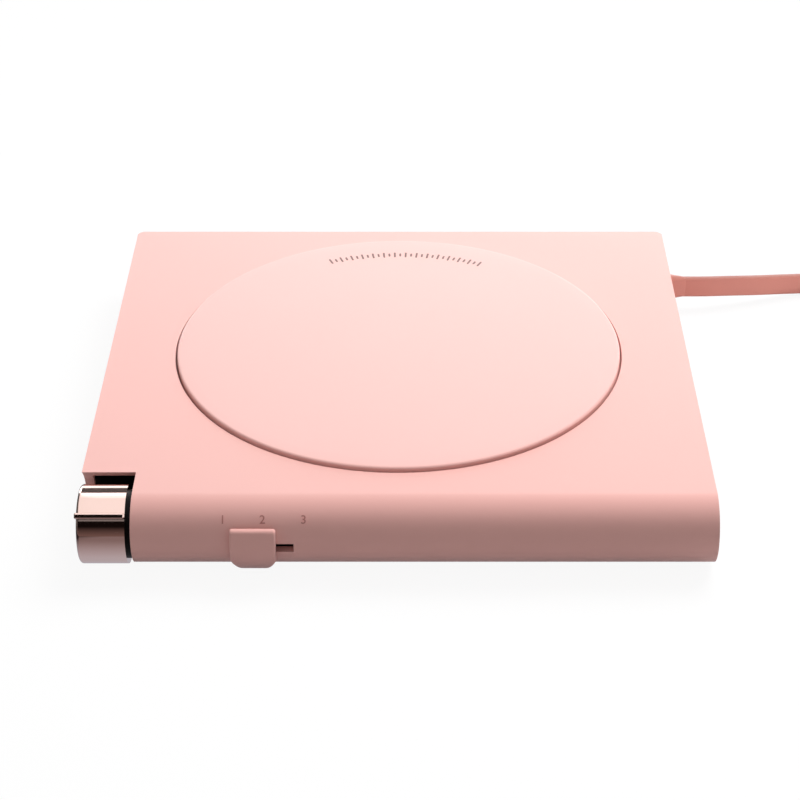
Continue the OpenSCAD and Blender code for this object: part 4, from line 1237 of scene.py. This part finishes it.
def plane(name, low, high):
    # stage rectangle between two opposite corners, square to the axes
    first, second = [i for i in range(3) if low[i] != high[i]]
    corners = []
    for across, up in ((low, low), (high, low), (high, high), (low, high)):
        corner = list(low)
        corner[first], corner[second] = across[first], up[second]
        corners.append(corner)
    made = newObject(name, meshFrom(name, corners, [(0, 1, 2, 3)], smooth=False))
    return made


def blankTree(piece):
    # an empty material on the piece, and the socket that its surface goes to
    material = bpy.data.materials.new(piece.name)
    material.use_nodes = True
    tree = material.node_tree
    tree.nodes.clear()
    piece.data.materials.append(material)
    return tree, addNode(tree, "ShaderNodeOutputMaterial").inputs["Surface"]


def choose(tree, fac, first, second):
    return addNode(tree, "ShaderNodeMixShader", {0: fac, 1: first, 2: second}).outputs["Shader"]


def glow(tree, strength, color=(1, 1, 1, 1)):
    return addNode(tree, "ShaderNodeEmission", {"Strength": strength, "Color": color}).outputs["Emission"]


def matte(tree, level):
    return addNode(tree, "ShaderNodeBsdfDiffuse", {"Color": (level, level, level, 1)}).outputs["BSDF"]


# from here on, places and sizes are in metres
lampSetup = {
    "sky": 0.29,              # what the object is lit by, apart from the lamps
    "power": 4.7,
    "place": (0.25, 0.29, 0.56),
    "size": (0.48, 0.40),
    "cordShare": 0.35,        # of that lamp, which shines along the cord's narrow edge
    "fillPower": 1.2,         # low side lamp for the cord's face, which the housing would otherwise shade
    "fillPlace": (0.45, -0.20, 0.10),
    "fillTarget": (0.08, 0.05, 0.004),
    "fillSize": (0.2, 0.1),
}


def makeSky(setup):
    # white to look at, and dimmer as a light
    world = bpy.data.worlds.new("studio")
    bpy.context.scene.world = world
    world.use_nodes = True
    tree = world.node_tree
    tree.nodes.clear()
    light = addNode(tree, "ShaderNodeLightPath").outputs
    seen = calc(tree, "MAXIMUM", light["Is Camera Ray"], light["Is Glossy Ray"])
    seen = calc(tree, "MAXIMUM", seen, light["Is Transmission Ray"])
    strength = calc(tree, "MULTIPLY_ADD", seen, 1 - setup["sky"], setup["sky"])
    sky = addNode(tree, "ShaderNodeBackground", {"Color": (1, 1, 1, 1), "Strength": strength})
    addNode(tree, "ShaderNodeOutputWorld", {"Surface": sky.outputs["Background"]})


def areaLamp(name, place, target, size, power):
    data = bpy.data.lights.new(name, "AREA")
    data.shape = "RECTANGLE"
    data.size, data.size_y = size
    data.energy = power
    lamp = newObject(name, data)
    lamp.location = place
    lamp.rotation_euler = (Vector(target) - Vector(place)).to_track_quat("-Z", "Y").to_euler()
    lamp.visible_glossy = False
    lamp.visible_camera = False
    return lamp


def linkCord(lamp, state):
    # lights the cord's own pieces only, or all but them
    group = bpy.data.collections.new(lamp.name + "_pieces")
    for piece in (flatCord, grommet, plugGrip, *gripRibs):
        group.objects.link(piece)
    for entry in group.collection_objects:
        entry.light_linking.link_state = state
    lamp.light_linking.receiver_collection = group


def makeLamps(setup):
    place, middle, size = setup["place"], (0, 0, 0), setup["size"]
    linkCord(areaLamp("softbox", place, middle, size, setup["power"]), "EXCLUDE")
    cordPower = setup["power"] * setup["cordShare"]
    linkCord(areaLamp("cord_softbox", place, middle, size, cordPower), "INCLUDE")
    place, target, size = setup["fillPlace"], setup["fillTarget"], setup["fillSize"]
    linkCord(areaLamp("cord_fill", place, target, size, setup["fillPower"]), "INCLUDE")


makeSky(lampSetup)
makeLamps(lampSetup)
print("lamps made")


floorSetup = {
    "size": 0.34,
    "fade": (0.4, 0.8),       # shares of its size, between which it goes over into the backdrop
    "glow": 0.92,             # the rest of its white is real light, so a faint shadow shows
    "matte": 0.09,
    "bounce": 0.55,           # what lights the object from below
    "far": 0.215,             # what polished metal sees of the table
    "near": 0.46,
    "reach": (-0.115, -0.056),           # from far to near along Y, the last at the front edge
    "power": 4.0,
    "warm": (1.0, 0.79, 0.80, 1.0),
    "cool": (0.97, 1.0, 1.12, 1.0),
    "lean": 0.148,            # the knob's reflections run this much to the left
    "aside": (-0.085, -0.062),           # along X, between which it goes from dim to full
    "dim": 0.1,
}


def mirroredFloor(tree, place, setup):
    # what polished metal reflects: lightest close to the object
    split = addNode(tree, "ShaderNodeSeparateXYZ", {"Vector": place}).outputs
    start, edge = setup["reach"]
    near = calc(tree, "POWER", rampOn(tree, split["Y"], start, edge, 0, 1), setup["power"])
    level = rampOn(tree, near, 0, 1, setup["far"], setup["near"])
    lean = calc(tree, "MULTIPLY", calc(tree, "SUBTRACT", split["Y"], edge), setup["lean"])
    straight = calc(tree, "SUBTRACT", split["X"], lean)
    aside = rampOn(tree, straight, *setup["aside"], setup["dim"], 1)
    color = mixColor(tree, near, setup["warm"], setup["cool"])
    return glow(tree, calc(tree, "MULTIPLY", level, aside), color)


def makeFloor(setup):
    size = setup["size"]
    tree, surface = blankTree(plane("floor", (-size, -size, 0), (size, size, 0)))
    light = addNode(tree, "ShaderNodeLightPath").outputs
    place = addNode(tree, "ShaderNodeTexCoord").outputs["Object"]
    # seen by the camera: white, a little darker where the object keeps the light off
    lit, own = matte(tree, setup["matte"]), glow(tree, setup["glow"])
    seen = addNode(tree, "ShaderNodeAddShader", {0: lit, 1: own}).outputs["Shader"]
    # fades into the white backdrop towards its edge
    far = addNode(tree, "ShaderNodeVectorMath", {0: place}, operation="LENGTH").outputs["Value"]
    start, end = setup["fade"]
    fade = rampOn(tree, far, start * size, end * size, 0, 1)
    seen = choose(tree, fade, seen, addNode(tree, "ShaderNodeBsdfTransparent").outputs["BSDF"])
    mirror = mirroredFloor(tree, place, setup)
    unseen = choose(tree, light["Is Glossy Ray"], matte(tree, setup["bounce"]), mirror)
    tree.links.new(choose(tree, light["Is Camera Ray"], unseen, seen), surface)


makeFloor(floorSetup)
print("floor made")


wallSetup = {                 # dark wall before the object, which polished metal alone sees
    "place": -0.34,
    "side": 1,
    "top": 0.57,
    "foot": (0.005, 0.15),    # heights between which it goes from its first glow to its second
    "glow": (0.15, 0.006),
    "color": (1, 0.66, 0.6, 1),
}
# plain cards that polished metal alone sees: two opposite corners, and how much they glow
cards = {
    "knob_card_0": ((-0.23, 0.60, 0.0), (-0.11, 0.60, 0.21), 1.5),      # behind the knob, one on another
    "knob_card_1": ((-0.26, 0.60, 0.21), (-0.11, 0.60, 0.62), 0.085),
    "knob_card_2": ((-0.31, 0.60, 0.62), (-0.13, 0.60, 1.0), 1.7),
    "knob_card_3": ((-0.36, 0.60, 1.0), (-0.17, 0.60, 1.4), 1.3),
    "roof_card": ((-0.38, -0.75, 1.4), (-0.16, 0.60, 1.4), 1.03),
    "side_card": ((-0.5, -0.6, 0.0), (-0.5, 0.5, 0.5), 0.12),
    "wall_strip": ((-0.25, -0.338, 0.27), (-0.03, -0.338, 0.325), 0.2),  # on the dark wall
    "back_card": ((-0.6, 0.66, 0.0), (0.6, 0.66, 0.42), 4.0),
}


def glossyOnly(card):
    card.visible_camera = False
    card.visible_diffuse = False
    card.visible_shadow = False
    card.visible_transmission = False
    card.visible_volume_scatter = False


def makeWall(setup):
    side, y = setup["side"], setup["place"]
    wall = plane("front_wall", (-side, y, 0), (side, y, setup["top"]))
    tree, surface = blankTree(wall)
    place = addNode(tree, "ShaderNodeTexCoord").outputs["Object"]
    height = addNode(tree, "ShaderNodeSeparateXYZ", {"Vector": place}).outputs["Z"]
    strength = rampOn(tree, height, *setup["foot"], *setup["glow"])
    tree.links.new(glow(tree, strength, setup["color"]), surface)
    glossyOnly(wall)


def makeCard(name, low, high, strength):
    card = plane(name, low, high)
    tree, surface = blankTree(card)
    tree.links.new(glow(tree, strength), surface)
    glossyOnly(card)


makeWall(wallSetup)
for name, (low, high, strength) in cards.items():
    makeCard(name, low, high, strength)
bpy.context.scene.view_settings.view_transform = "Standard"
print("studio made")
